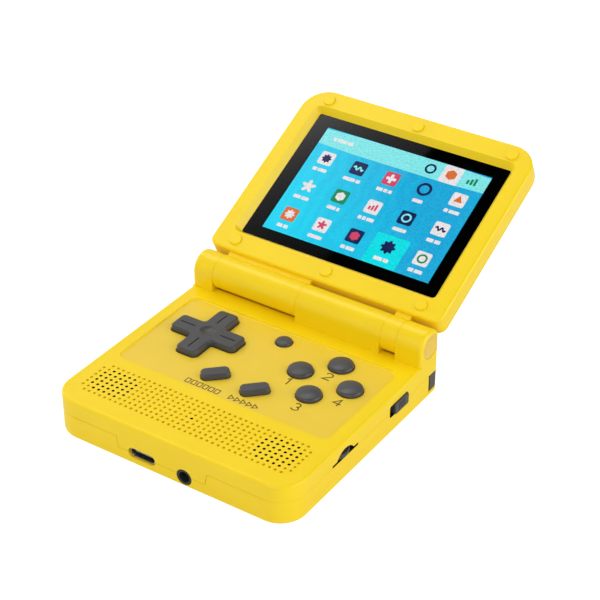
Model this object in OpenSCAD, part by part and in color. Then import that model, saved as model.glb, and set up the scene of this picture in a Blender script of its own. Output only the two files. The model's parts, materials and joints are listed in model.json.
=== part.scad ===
// Clamshell handheld game console, drawn with its lid open at its stop.
// Millimetres. +Z up, +Y towards the hinge, origin at the centre of the base's underside.

/* [Base] */
// Width of the base
body_w = 84; // [82:0.5:90]
// Depth of the base, front face to back of the hinge barrel
body_d = 80.5; // [79:0.5:88]
// Height of the base, underside to deck
body_h = 13.4; // [13:0.1:16]
// Height of the parting line between the two base shells
seam_z = 7.8; // [7.6:0.05:8]
// Gap left at a parting line
seam_gap = 0.12; // [0.05:0.01:0.2]
// Plan radius of the two front corners
front_corner_r = 8.5; // [7:0.25:10]
// Plan radius of the two rear corners
rear_corner_r = 2; // [1.5:0.1:2.5]
// Rounding of the deck's outer edge
deck_edge_r = 0.9; // [0.6:0.1:1.4]
// Rounding of the underside's outer edge
foot_edge_r = 1; // [0.6:0.1:1.2]
// Thickness of the side walls
wall = 1.8; // [1.4:0.1:2]
// Thickness of the floor
floor_t = 1.6; // [1.4:0.1:1.8]
// Thickness of the deck
deck_t = 1.8; // [1.7:0.05:2]

/* [Control panel] */
// Distance of the inlaid control panel from each side of the base
panel_margin = 4.5; // [4:0.25:6]
// Depth of the inlaid control panel
panel_d = 39.1; // [38:0.1:40]
// Distance of the panel's centre behind the centre of the base
panel_y = 4.7; // [4.2:0.1:5.2]
// Plan radius of the panel's corners
panel_r = 3; // [1.5:0.5:4]
// Thickness of the panel
panel_t = 0.5; // [0.3:0.05:0.6]
// Depth of the panel's top below the deck
panel_drop = 0.4; // [0.2:0.05:0.5]
// Gap round the panel
panel_gap = 0.08; // [0.04:0.02:0.15]

/* [Buttons] */
// Radius of an action button
action_r = 3.9; // [3.6:0.1:4.1]
// Distance of each action button from the middle of its cluster
action_pitch = 8.7; // [8.6:0.05:9]
// Distance of the action cluster's middle from the right side of the base
action_inset = 20.7; // [20.4:0.1:21.5]
// Height of the action buttons above the panel
action_rise = 1.7; // [1.4:0.1:1.7]
// Distance of the action cluster behind the centre of the base
cluster_y = 9.4; // [9:0.1:9.5]
// Radius of the menu button
menu_r = 2.6; // [2.4:0.1:3]
// Distance of the menu button behind the centre of the base
menu_y = 19.2; // [18.8:0.1:19.4]
// Height of the menu button above the panel
menu_rise = 1.1; // [0.6:0.1:1.4]
// Length of the two option buttons
option_l = 8.7; // [8:0.1:9]
// Width of the two option buttons
option_w = 4.4; // [4:0.1:4.8]
// Plan radius of their corners
option_corner_r = 1.6; // [1.2:0.1:1.9]
// Turn of the option buttons from the sideways direction
option_turn = 44; // [38:1:48]
// Half the distance between the two option buttons
option_x = 7.1; // [6.8:0.1:7.4]
// Distance of the option buttons in front of the centre of the base
option_y = 6.3; // [6:0.1:6.6]
// Height of the option buttons above the panel
option_rise = 1.8; // [1.3:0.1:2]
// Span of the direction pad from tip to tip
pad_span = 23.7; // [23:0.1:23.8]
// Width of each arm of the direction pad
pad_arm = 7.4; // [7.2:0.1:8.4]
// Plan radius of the corners at the tips of the direction pad
pad_tip_r = 1.6; // [1:0.1:2]
// Radius of the fillets between its arms
pad_inner_r = 1; // [0.8:0.1:1.4]
// Distance of the direction pad's middle from the left side of the base
pad_inset = 20.8; // [20.4:0.1:21.2]
// Distance of the direction pad behind the centre of the base
pad_y = 9.2; // [8.8:0.1:9.2]
// Tilt of the direction pad each way
pad_tilt = 3; // [2.5:0.1:3.2]
// Height of the direction pad above the panel
pad_rise = 2; // [1.6:0.1:2.2]
// Gap round a round button in its hole
button_gap = 0.2; // [0.12:0.02:0.3]
// Gap round the direction pad in its hole
pad_gap = 0.35; // [0.3:0.05:0.45]
// Thickness of the flange that keeps a button in
flange_t = 0.8; // [0.6:0.1:1]
// Reach of that flange past the cap
flange_reach = 0.7; // [0.5:0.05:0.8]

/* [Speaker grille] */
// Distance between neighbouring grille holes
grille_pitch = 1.93; // [1.9:0.01:1.95]
// Radius of a grille hole
grille_hole_r = 0.48; // [0.4:0.02:0.55]
// Least distance of the outermost grille holes from the side of the base
grille_margin = 5.3; // [5.3:0.1:7]
// Number of rows of grille holes
grille_rows = 8; // [8:1:8]
// Depth of the holes that are only dimples
dimple_depth = 0.6; // [0.4:0.1:0.9]
// Distance of the grille's middle behind the front face
grille_inset = 13.7; // [13.4:0.05:14.1]
// Number of columns that go right through over each speaker
open_columns = 7; // [7:2:7]
// Radius of a speaker
speaker_r = 6.4; // [6:0.1:6.5]

/* [Hinge] */
// Radius of the hinge barrel
hinge_r = 5.4; // [5.2:0.1:5.6]
// Height of the hinge axis above the deck
hinge_rise = 5; // [4.8:0.1:5.4]
// Opening angle of the lid, from closed
open_angle = 154; // [140:1:160]
// Inset of the barrel's ends from the sides of the base
barrel_inset = 0; // [0:0.1:0.4]
// Length of the left base knuckle
left_knuckle_w = 7.5; // [7:0.1:8]
// Length of the right base knuckle
right_knuckle_w = 9.1; // [8.7:0.1:9.5]
// Rounding of the barrel's outer ends
knuckle_end_r = 1.2; // [0.8:0.1:1.3]
// Left end of the middle base knuckle
mid_knuckle_x0 = -3; // [-4:0.1:-2]
// Right end of the middle base knuckle
mid_knuckle_x1 = 27.2; // [26.6:0.1:27.6]
// Gap between neighbouring pieces of the barrel
barrel_gap = 0.25; // [0.15:0.05:0.3]
// Gap between the lid's barrel and the trough in the deck
trough_gap = 0.5; // [0.4:0.05:0.6]
// Radius of the hinge shaft
shaft_r = 2; // [1.8:0.1:2.2]
// Radius of the hollow bush in the left knuckle
bush_r = 3.3; // [3.1:0.1:3.5]
// Radius of the friction unit in the middle knuckle
cartridge_r = 3.8; // [3.6:0.1:4]
// Radial gap of a turning fit
run_gap = 0.05; // [0.02:0.01:0.08]

/* [Lid] */
// Width of the lid's frame beside the glass
frame_side = 6.9; // [6.5:0.1:7.5]
// Width of the lid's frame beyond the glass
frame_far = 8.3; // [8:0.1:8.6]
// Distance from the hinge axis to the lid's near edge
lid_near = 6.2; // [6:0.1:6.6]
// Height of the screen side above the hinge axis's plane
lid_face = 4.1; // [3.9:0.1:4.3]
// Thickness of the lid
lid_t = 8.2; // [8:0.1:9]
// Thickness of the lid's back shell, up to the parting line
lid_seam_t = 2.6; // [2.6:0.1:2.9]
// Plan radius of the corners at the lid's free edge
lid_corner_r = 9; // [8:0.5:10]
// Plan radius of the corners at the lid's near edge
lid_near_r = 3; // [2.8:0.1:3.4]
// Rounding of the lid's back edge
lid_back_edge_r = 2.4; // [1.6:0.1:2.5]
// Rounding of the lid's face edge
lid_face_edge_r = 0.8; // [0.5:0.1:1]
// Thickness of the lid's side walls
lid_wall = 1.6; // [1.4:0.1:1.8]
// Thickness of the lid's face
lid_face_t = 1.6; // [1.5:0.1:1.8]
// Thickness of the lid's back
lid_back_t = 1.3; // [1.2:0.1:1.4]
// Length of the two flanges' root inside the lid
flange_root = 1; // [0.8:0.1:1.4]

/* [Screen] */
// Width of the black border beside the picture
border_side = 4.9; // [4:0.1:5.5]
// Width of the black border beyond the picture
border_far = 3.8; // [3.4:0.1:4.4]
// Width of the black border between the picture and the hinge
border_near = 4.6; // [4.2:0.1:5]
// Distance from the hinge axis to the glass's near edge
glass_near = 14.8; // [14.4:0.1:15]
// Depth of the glass below the lid's face
window_depth = 2.4; // [2.2:0.1:2.6]
// Slope of the window's walls, as their spread
window_spread = 1.6; // [1:0.1:1.7]
// Plan radius of the window's corners at the glass
window_r = 0.8; // [0.6:0.1:1.6]
// Thickness of the glass
glass_t = 0.8; // [0.7:0.1:1]
// Hidden border of the glass under the frame
glass_lap = 1.2; // [1:0.1:1.3]
// Width of the lit picture
picture_w = 61.4; // [59:0.2:62]
// Height of the lit picture
picture_h = 43; // [41:0.5:44]
// Thickness of the black border under the glass
mask_t = 0.2; // [0.15:0.05:0.4]
// Thickness of the display panel
display_t = 1.2; // [1:0.1:1.3]
// Thickness of the backlight
backlight_t = 1.1; // [1:0.1:1.2]
// Dark border of the display panel round the picture
display_border = 3.5; // [3:0.1:3.6]

/* [Bumpers] */
// Radius of a bumper
bumper_r = 2; // [2:0.1:2.4]
// Height of a bumper above the lid's face
bumper_rise = 0.6; // [0.3:0.05:0.6]
// Depth of a bumper's seat
bumper_seat = 0.6; // [0.5:0.05:0.7]
// Distance of the outer bumpers from the sides of the lid
bumper_side = 8.5; // [8.1:0.1:9]
// Distance of the near bumpers from the lid's near edge
bumper_near_edge = 3.9; // [3.6:0.1:4]
// Distance of the far bumpers from the lid's free edge
bumper_far_edge = 4.1; // [3.9:0.1:4.3]

/* [Sockets and side controls] */
// Sideways place of the charging socket
usb_x = -8.6; // [-9:0.1:-8.2]
// Height of the charging socket's middle
usb_z = 4.15; // [4.1:0.05:4.2]
// Width of the charging socket's opening in the shell
usb_w = 9.7; // [9.5:0.1:10]
// Height of the charging socket's opening in the shell
usb_h = 3.5; // [3.4:0.1:3.7]
// Sideways place of the headphone socket
jack_x = 6.4; // [6:0.1:6.8]
// Height of the headphone socket's middle
jack_z = 3.4; // [3.35:0.05:3.5]
// Radius of the headphone socket's nose
jack_r = 2.55; // [2.4:0.05:2.6]
// Radius of the headphone socket's bore
jack_bore_r = 1.78; // [1.76:0.01:1.8]
// Depth of the headphone socket's bore
jack_depth = 12.2; // [11:0.2:13]
// Distance of the power switch behind the centre of the base
power_y = 17.2; // [16.8:0.1:17.4]
// Length of the power switch's slot
power_slot_l = 10.1; // [9.8:0.1:10.4]
// Height of the power switch's slot
power_slot_h = 4.2; // [4:0.1:4.4]
// Plan radius of the slot's corners
power_slot_r = 0.8; // [0.6:0.1:1]
// Length of the power switch's knob
power_knob_l = 7.6; // [7:0.1:7.8]
// Height of the power switch's knob above the side wall
power_rise = 0.6; // [0.3:0.1:0.8]
// Height of the power switch's middle
power_z = 8.05; // [8:0.05:8.1]
// Distance of the volume wheel in front of the centre of the base
wheel_y = 11.85; // [11.6:0.05:12]
// Radius of the volume wheel
wheel_r = 6.2; // [6:0.1:6.3]
// Thickness of the volume wheel
wheel_t = 1.3; // [1.1:0.1:1.3]
// Height of the wheel's rim above the side wall
wheel_rise = 0.3; // [0.2:0.1:0.5]
// Length of the volume wheel's slot
wheel_slot_l = 13.3; // [13:0.1:13.6]
// Height of that slot at its thin ends
wheel_slot_h = 0.85; // [0.8:0.05:0.9]
// Width of the arch over the middle of the slot
wheel_arch_w = 8.7; // [8.6:0.1:9.2]
// Height of the arch above the parting line
wheel_arch_h = 3.1; // [3:0.1:3.3]
// Length of a shoulder button along the back
shoulder_l = 15.7; // [15:0.1:16.4]
// Length of a shoulder button along the side
shoulder_side = 4.9; // [4.6:0.1:5]
// Height of the shoulder buttons' lower edge
shoulder_z0 = 2.1; // [2:0.05:2.3]
// Gap round a shoulder button
shoulder_gap = 0.15; // [0.1:0.01:0.2]
// Room in front of a shoulder button for its swing
shoulder_swing = 0.7; // [0.65:0.05:0.8]
// Thickness of the memory card
card_t = 1; // [0.8:0.1:1]
// Width of the memory card
card_w = 11; // [10.5:0.1:11]
// Length of the memory card
card_l = 15; // [14:0.5:15]
// Distance of the memory card in front of the centre of the base
card_y = 11.5; // [11.2:0.1:11.7]

/* [Boards and power] */
// Thickness of the main board
board_t = 1; // [0.8:0.1:1]
// Gap between the main board and the side walls
board_gap = 1.6; // [1.4:0.1:1.8]
// Distance of the board's rear edge behind the centre of the base
board_back = 28.5; // [28.2:0.1:28.8]
// Width of the battery
battery_w = 48; // [44:1:50]
// Depth of the battery
battery_d = 34; // [32:0.5:34]
// Distance of the battery's centre behind the centre of the base
battery_y = 3; // [2.8:0.1:3.2]
// Thickness of the battery cover
cover_t = 1.2; // [1:0.1:1.3]
// Gap round the battery and its cover
cover_gap = 0.15; // [0.1:0.02:0.2]
// Radius of a screw's thread
screw_r = 0.95; // [0.8:0.05:1]
// Radius of a screw's head
screw_head_r = 1.8; // [1.6:0.1:1.9]
// Radius of a screw post
post_r = 2.3; // [2.2:0.1:2.5]

/* [Hidden] */
$fn = 64;

YELLOW = [0.98, 0.83, 0.10];
PANEL = [0.95, 0.82, 0.28];
CHARCOAL = [0.29, 0.29, 0.30];
BLACK = [0.05, 0.05, 0.06];
STEEL = [0.72, 0.73, 0.75];
GOLD = [0.85, 0.68, 0.30];
BOARD_GREEN = [0.08, 0.35, 0.22];
RUBBER = [0.80, 0.80, 0.78];
EPS = 0.01;

// Derived places of the base
side_x = body_w / 2;
panel_w = body_w - 2 * panel_margin;
action_x = side_x - action_inset;
pad_x = side_x - pad_inset;
grille_columns = 2 * floor((side_x - grille_margin) / grille_pitch) + 1;
front_y = -body_d / 2;
back_y = body_d / 2;
grille_y = back_y - grille_inset;
deck_under = body_h - deck_t;
cavity_corner_r = max(rear_corner_r - wall, 0.2);
panel_top = body_h - panel_drop;
panel_seat = panel_top - panel_t;
board_z0 = usb_z + 1.65;
board_top = board_z0 + board_t;
flange_top = deck_under;
flange_z0 = flange_top - flange_t;
pad_sheet_t = 0.6;
dome_r = 2.2;

// Derived places of the hinge
hinge_y = back_y - hinge_r;
hinge_z = body_h + hinge_rise;
lid_tilt = 180 - open_angle;
barrel_x0 = -side_x + barrel_inset;
barrel_x1 = side_x - barrel_inset;
left_seam_x = barrel_x0 + left_knuckle_w;
right_seam_x = barrel_x1 - right_knuckle_w;
cap_r = 4;
cap_t = 1.3;
cap_dish_r = 8;
flex_r = 1;
flex_x0 = barrel_x0 + 3;
flex_t = 0.2;
flex_meet_x = left_seam_x + 2.6;
flex_u0 = left_seam_x + 12;
flex_w = 8;

// Derived places of the lid, in its own axes: across, away from the hinge, towards the viewer
glass_w = picture_w + 2 * border_side;
glass_h = picture_h + border_near + border_far;
picture_near = glass_near + border_near;
lid_w = glass_w + 2 * frame_side;
lid_reach = glass_near + glass_h + frame_far;
bumper_x = lid_w / 2 - bumper_side;
bumper_near = lid_near + bumper_near_edge;
bumper_far = lid_reach - bumper_far_edge;
lid_back = lid_face - lid_t;
lid_seam_n = lid_back + lid_seam_t;
lid_mid_v = (lid_near + lid_reach) / 2;
lid_len = lid_reach - lid_near;
glass_top = lid_face - window_depth;
glass_under = glass_top - glass_t;
mask_under = glass_under - mask_t;
display_under = mask_under - display_t;
backlight_under = display_under - backlight_t;
bracket_t = 0.4;
bracket_under = backlight_under - bracket_t;
bracket_rim = 8;
bracket_bar = 6;
bay = (picture_w - bracket_bar) / 3;
rib_x = bay;
rib_w = 2;
rib_end = 4;
glass_mid_v = glass_near + glass_h / 2;
lid_under = lid_face - lid_face_t;
boss_split_n = glass_under + 0.3;

// Derived places of the controls
wheel_x = side_x + wheel_rise - wheel_r;
wheel_z0 = seam_z + 0.27;
wheel_arch_rise = wheel_arch_h - wheel_slot_h;
wheel_arch_r = (pow(wheel_arch_w / 2, 2) + pow(wheel_arch_rise, 2)) / (2 * wheel_arch_rise);
wheel_skin_t = 0.7;
card_z0 = board_top + 0.2;
card_x0 = -side_x + 0.3;
shoulder_x0 = side_x - shoulder_l;
pivot_x = shoulder_x0 + 2.1;
pivot_y = back_y - 3;
pivot_r = 0.75;
ear_r = 1.6;
ear_h = 1.5;
nose_x = side_x - 8;
shoulder_z1 = seam_z - 0.1;
post_side = 7;
post_front = 5.75;
post_rear = 5.25;
post_rear_x = 20;
case_posts = [[side_x - post_side, front_y + post_front], [post_side - side_x, front_y + post_front],
  [post_rear_x, back_y - post_rear], [-post_rear_x, back_y - post_rear]];
board_posts = [[side_x - 6, board_back - 2.7], [-side_x + 6, board_back - 2.7], [0, -24]];
battery_z0 = cover_t + 0.1;
battery_z1 = board_z0 - 0.4;
cover_y0 = battery_y - battery_d / 2 - 1.6;
cover_y1 = battery_y + battery_d / 2 + 7.5;
cover_screw_y = cover_y1 - 3;
cover_w = battery_w + 4;

// ---- Shared shapes ----

// Half a section of width r and height h, its outer edge rounded by rb below and rt above
module rim_section(r, h, rb, rt) {
  difference() {
    square([r, h]);
    if (rt > 0) translate([r - rt, h - rt]) difference() { square(rt + 1); circle(rt); }
    if (rb > 0) translate([r - rb, rb]) mirror([0, 1]) difference() { square(rb + 1); circle(rb); }
  }
}

// Outline of a plate w by d with radii rf in front and rr behind
module plate_outline(w, d, rf, rr) {
  x = w / 2;
  y = d / 2;
  polygon([[x, y - rr], [x - rr, y], [rr - x, y], [-x, y - rr],
    [-x, rf - y], [rf - x, -y], [x - rf, -y], [x, rf - y]]);
  for (s = [-1, 1]) {
    translate([s * (x - rr), y - rr]) circle(rr);
    translate([s * (x - rf), rf - y]) circle(rf);
  }
}

// A flat plate w by d by h with plan radii rf in front and rr behind
module plate(w, d, h, rf, rr) {
  linear_extrude(h) union() plate_outline(w, d, rf, rr);
}

// The same plate with its outer edges rounded by rb below and rt above
module slab(w, d, h, rf, rr, rb, rt) {
  e = max(rb, rt, 0.2);
  lap = 0.1;
  x = w / 2;
  y = d / 2;
  corners = [[x - rr, y - rr, rr, 0], [rr - x, y - rr, rr, 90],
    [rf - x, rf - y, rf, 180], [x - rf, rf - y, rf, 270]];
  for (c = corners) translate([c[0], c[1], 0]) rotate([0, 0, c[3]])
    rotate_extrude(angle = 90) rim_section(c[2], h, rb, rt);
  for (s = [0, 1]) mirror([s, 0, 0]) translate([x - e - lap, y - rr, 0]) rotate([90, 0, 0])
    linear_extrude(d - rf - rr) rim_section(e + lap, h, rb, rt);
  translate([rr - x, y - e - lap, 0]) rotate([90, 0, 90])
    linear_extrude(w - 2 * rr) rim_section(e + lap, h, rb, rt);
  translate([x - rf, e + lap - y, 0]) rotate([90, 0, -90])
    linear_extrude(w - 2 * rf) rim_section(e + lap, h, rb, rt);
  half = [[x - e, y - rr], [x - rr + lap, y - rr + lap], [x - rr, y - e]];
  front = [[x - rf, e - y], [x - rf + lap, rf - y - lap], [x - e, rf - y]];
  linear_extrude(h) polygon(concat(half, [for (i = [2:-1:0]) [-half[i][0], half[i][1]]],
    [for (i = [2:-1:0]) [-front[i][0], front[i][1]]], front));
}

// A plate with round ends, l by w by h, its top edge rounded by rt
module pill(l, w, h, rt) {
  for (s = [0, 180]) rotate([0, 0, s]) translate([(l - w) / 2, 0, 0]) rotate([0, 0, -90])
    rotate_extrude(angle = 180) rim_section(w / 2, h, 0, rt);
  translate([-(l - w) / 2, 0, 0]) rotate([90, 0, 90]) linear_extrude(l - w)
    union() { rim_section(w / 2, h, 0, rt); mirror([1, 0]) rim_section(w / 2, h, 0, rt); }
}

// A rod of radius r along X from x0 to x1
module x_rod(r, x0, x1) {
  translate([x0, 0, 0]) rotate([0, 90, 0]) cylinder(r = r, h = x1 - x0);
}

// A box centred across X and Y, standing at z0
module block(x, y, z0, w, d, h) {
  translate([x - w / 2, y - d / 2, z0]) cube([w, d, h]);
}

// A wire of radius wire_r coiled about Z with the given mean radius, turns and height
module coil(mean_r, wire_r, turns, height) {
  steps = 16;
  sides = 6;
  rings = turns * steps;
  lead = height - 2 * wire_r;
  points = [for (i = [0:rings]) for (j = [0:sides - 1])
    let (a = 360 * i / steps, b = 360 * j / sides, r = mean_r + wire_r * cos(b))
    [r * cos(a), r * sin(a), wire_r + lead * i / rings + wire_r * sin(b)]];
  walls = [for (i = [0:rings - 1]) for (j = [0:sides - 1]) let (k = (j + 1) % sides)
    each [[i * sides + j, (i + 1) * sides + k, i * sides + k],
      [i * sides + j, (i + 1) * sides + j, (i + 1) * sides + k]]];
  caps = [for (j = [1:sides - 2]) each [[0, j, j + 1],
    [rings * sides, rings * sides + j + 1, rings * sides + j]]];
  polyhedron(points, concat(walls, caps));
}

// Puts a shape drawn about the hinge axis in its place on the base
module at_hinge() {
  translate([0, hinge_y, hinge_z]) children();
}

// Puts a shape drawn in the lid's own axes in its place at the open stop
module on_lid() {
  at_hinge() rotate([lid_tilt, 0, 0]) children();
}

// ---- Base shells ----

// The base as one closed hollow shell, before it is parted
module base_hollow() {
  difference() {
    slab(body_w, body_d, body_h, front_corner_r, rear_corner_r, foot_edge_r, deck_edge_r);
    translate([0, 0, floor_t]) plate(body_w - 2 * wall, body_d - 2 * wall, deck_under - floor_t,
      front_corner_r - wall, cavity_corner_r);
  }
}

// Outline in front view of the tongue of the top shell that closes round the sockets
module tongue_outline(grow) {
  translate([0, usb_z]) polygon([[usb_x - 9 - grow, seam_z - usb_z + 1], [usb_x - 9 - grow, seam_z - usb_z],
    [usb_x - 8.3 - grow, -grow], [jack_x + 7.2 + grow, -grow],
    [jack_x + 8 + grow, seam_z - usb_z], [jack_x + 8 + grow, seam_z - usb_z + 1]]);
}

module tongue(grow) {
  translate([0, front_y + wall, 0]) rotate([90, 0, 0]) linear_extrude(wall + 1) tongue_outline(grow);
}

// Holes through the front wall for the charging and headphone sockets
module front_holes() {
  translate([usb_x, front_y + wall + 1, usb_z]) rotate([90, 0, 0]) pill(usb_w, usb_h, wall + 2, 0);
  translate([jack_x, front_y + wall + 1, jack_z]) rotate([90, 0, 0]) cylinder(r = jack_r + 0.1, h = wall + 2);
}

// Outline of the volume wheel's slot, seen from the side: a thin slot with an arch over its middle
module wheel_slot_outline() {
  translate([-wheel_slot_l / 2, 0]) square([wheel_slot_l, wheel_slot_h]);
  intersection() {
    translate([0, wheel_arch_h - wheel_arch_r]) circle(wheel_arch_r);
    translate([-wheel_slot_l / 2, 0]) square([wheel_slot_l, wheel_arch_h + 1]);
  }
}

// Room for the wheel behind the thin skin that the slot is cut in
module wheel_room() {
  intersection() {
    translate([wheel_x, -wheel_y, seam_z + 0.05])
      cylinder(r = wheel_r + 0.3, h = wheel_z0 - seam_z + wheel_t + 0.2);
    translate([wheel_x, -2 * wheel_y, 0]) cube([side_x - wheel_skin_t - wheel_x, 2 * wheel_y, body_h]);
  }
}

// Slots through the side walls for the power switch, the volume wheel and the memory card
module side_slots() {
  translate([side_x - wall - 1, power_y, power_z]) rotate([90, 0, 90])
    plate(power_slot_l, power_slot_h, wall + 2, power_slot_r, power_slot_r);
  translate([side_x - wall - 1, -wheel_y, seam_z]) rotate([90, 0, 90])
    linear_extrude(wall + 2) union() wheel_slot_outline();
  wheel_room();
  translate([-side_x - 1, -card_y - card_w / 2 - 0.3, card_z0 - 0.25])
    cube([wall + 2, card_w + 0.6, card_t + 0.5]);
}

// Room for a shoulder button in the rear right corner
module shoulder_room() {
  y0 = back_y - shoulder_side - shoulder_swing;
  z0 = shoulder_z0 - shoulder_gap;
  inner = wall + cavity_corner_r + 0.1;
  h = seam_z - z0 + 0.5;
  translate([shoulder_x0 - shoulder_gap, back_y - inner, z0]) cube([shoulder_l + 2, inner + 1, h]);
  translate([side_x - inner, y0, z0]) cube([inner + 1, shoulder_side + 2, h]);
}

// Foot of a knuckle, from its seat halfway down the deck up to the height of the hinge axis
module knuckle_foot(x0, x1) {
  at_hinge() translate([x0, -hinge_r, -hinge_rise - deck_t / 2])
    cube([x1 - x0, 2 * hinge_r, hinge_rise + deck_t / 2]);
}

// Knuckle section: round over the hinge axis, with straight sides down to its seat in the deck
module knuckle(x0, x1) {
  at_hinge() x_rod(hinge_r, x0, x1);
  knuckle_foot(x0, x1);
}
knuckle_spans = [[barrel_x0, left_seam_x], [mid_knuckle_x0, mid_knuckle_x1], [right_seam_x, barrel_x1]];

// What is cut off outside a corner of radius r, in the quarter between +X and +Y
module corner_waste(r) {
  difference() {
    square([r + 1, r + 1]);
    circle(r);
  }
}

// Rounds the outer end of the right-hand knuckle: over its top, down its front edge and round the base's
// rear corner
module knuckle_end_cut() {
  r = knuckle_end_r;
  rr = rear_corner_r;
  translate([barrel_x1 - r, hinge_y, hinge_z]) rotate([0, 90, 0]) rotate([0, 0, 90])
    rotate_extrude(angle = 180) translate([hinge_r - r, 0]) corner_waste(r);
  translate([barrel_x1 - r, hinge_y - hinge_r + r, body_h]) rotate([0, 0, -90])
    linear_extrude(hinge_rise) corner_waste(r);
  translate([side_x - rr, back_y - rr, 0]) linear_extrude(hinge_z + hinge_r) corner_waste(rr);
}

// Everything that the hinge needs cut out of the deck and the knuckles
module hinge_cuts() {
  at_hinge() {
    for (x = [[left_seam_x, mid_knuckle_x0], [mid_knuckle_x1, right_seam_x]])
      x_rod(hinge_r + trough_gap, x[0], x[1]);
    x_rod(bush_r + 0.02, barrel_x0 + cap_t + 1, left_seam_x + 1);
    x_rod(cartridge_r + 0.02, 6, mid_knuckle_x1 + 1);
    x_rod(shaft_r + run_gap, right_seam_x - 1, right_seam_x + 5.6);
    for (s = [-1, 1]) translate([s * side_x - s * barrel_inset, 0, 0]) x_rod(cap_r + 0.05, -cap_t, cap_t);
    translate([flex_x0 - 0.3, -0.8, -hinge_rise - deck_t - 1]) cube([2.8, 1.6, hinge_rise + deck_t + 1]);
  }
}

// One lattice hole of the grille at column i and row j
module grille_hole(i, j, z0) {
  x = (i - (grille_columns - 1) / 2) * grille_pitch;
  y = (j - (grille_rows - 1) / 2) * grille_pitch - grille_y;
  translate([x, y, z0]) cylinder(r = grille_hole_r, h = body_h - z0 + 1);
}

// True where a column and row lie in the open cluster over a speaker
function is_open(i, j) =
  let (m = grille_columns - 1 - i, c = min(i, m) - 1, edge = (c == 0 || c == open_columns - 1))
  (c >= 0 && c < open_columns && j >= (edge ? 2 : 1) && j <= grille_rows - (edge ? 3 : 2))
  || (i == mic_column && j == mic_row);
mic_column = (grille_columns - 1) / 2;
mic_row = 3;

module grille() {
  for (i = [0:grille_columns - 1]) for (j = [0:grille_rows - 1])
    if (!((i == 0 || i == grille_columns - 1) && (j == 0 || j == grille_rows - 1)))
      grille_hole(i, j, is_open(i, j) ? deck_under - 1 : body_h - dimple_depth);
}

// Holes for all the buttons, each grown by g, from z0 up through the deck
module button_holes(g, z0) {
  h = body_h + 1 - z0;
  for (p = action_places) translate([p[0], p[1], z0]) cylinder(r = action_r + g, h = h);
  translate([0, menu_y, z0]) cylinder(r = menu_r + g, h = h);
  for (s = [-1, 1]) translate([s * option_x, -option_y, z0]) rotate([0, 0, option_turn])
    plate(option_l + 2 * g, option_w + 2 * g, h, option_corner_r + g, option_corner_r + g);
  gp = g + pad_gap - button_gap;
  translate([-pad_x, pad_y, z0]) {
    for (a = [0, 90]) rotate([0, 0, a])
      plate(pad_span + 2 * gp, pad_arm + 2 * gp, h, pad_tip_r + gp, pad_tip_r + gp);
    for (a = [0:90:270]) rotate([0, 0, a]) pad_fillet(pad_arm / 2 + gp, pad_inner_r - gp, h, 0);
  }
}

// Fillet of radius ri in the corner between two arms of half width m, h high, its top edge rounded by edge
module pad_fillet(m, ri, h, edge) {
  lap = edge + 0.3;
  difference() {
    translate([m - lap, m - lap, 0]) cube([ri + lap, ri + lap, h]);
    translate([m + ri, m + ri, -1]) rotate([0, 0, 180]) rotate_extrude(angle = 90) {
      square([ri, h + 2]);
      if (edge > 0) difference() {
        translate([ri - EPS, h + 1 - edge]) square([edge + EPS, edge + 1]);
        translate([ri + edge, h + 1 - edge]) circle(edge);
      }
    }
  }
}
action_places = [[action_x - action_pitch, cluster_y], [action_x, cluster_y + action_pitch],
  [action_x + action_pitch, cluster_y], [action_x, cluster_y - action_pitch]];

module base_top_shell() {
  color(YELLOW) difference() {
    union() {
      difference() {
        base_hollow();
        difference() {
          translate([-body_w, -body_d, -1]) cube([2 * body_w, 2 * body_d, seam_z + seam_gap + 1]);
          tongue(0);
        }
      }
      for (p = case_posts) translate([p[0], p[1], seam_z + seam_gap])
        cylinder(r = post_r, h = deck_under - seam_z);
      for (p = board_posts) translate([p[0], p[1], board_top])
        cylinder(r = post_r - 0.5, h = deck_under - board_top + EPS);
      for (s = [-1, 1]) translate([s * pivot_x, pivot_y, shoulder_z1 + 0.4])
        cylinder(r = ear_r, h = deck_under - shoulder_z1);
    }
    translate([0, panel_y, panel_seat]) plate(panel_w + 2 * panel_gap, panel_d + 2 * panel_gap,
      panel_t + panel_drop + 1, panel_r + panel_gap, panel_r + panel_gap);
    button_holes(button_gap, deck_under - 1);
    grille();
    for (x = knuckle_spans) knuckle_foot(x[0], x[1]);
    hinge_cuts();
    front_holes();
    side_slots();
    for (p = case_posts) translate([p[0], p[1], 0]) cylinder(r = screw_r + 0.02, h = deck_under - 0.8);
    for (p = board_posts) translate([p[0], p[1], 0]) cylinder(r = screw_r + 0.02, h = deck_under - 0.8);
    for (s = [-1, 1]) translate([s * pivot_x, pivot_y, 0]) cylinder(r = pivot_r + 0.03, h = deck_under - 1.2);
  }
}

// The three knuckles that stand in seats in the deck
module hinge_knuckles() {
  color(YELLOW) difference() {
    for (x = knuckle_spans) knuckle(x[0], x[1]);
    for (s = [0, 1]) mirror([s, 0, 0]) knuckle_end_cut();
    hinge_cuts();
  }
}

// Raised ribs that hold the battery
module battery_ribs() {
  w = battery_w + 2 * cover_gap;
  d = battery_d + 2 * cover_gap;
  rib = 1;
  difference() {
    block(0, battery_y, floor_t - EPS, w + 2 * rib, d + 2 * rib, board_z0 - 0.3 - floor_t);
    block(0, battery_y, 0, w, d, board_z0 + 1);
    block(0, battery_y - battery_d / 2, floor_t + 0.8, 16, 6, board_z0);
  }
}

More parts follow.
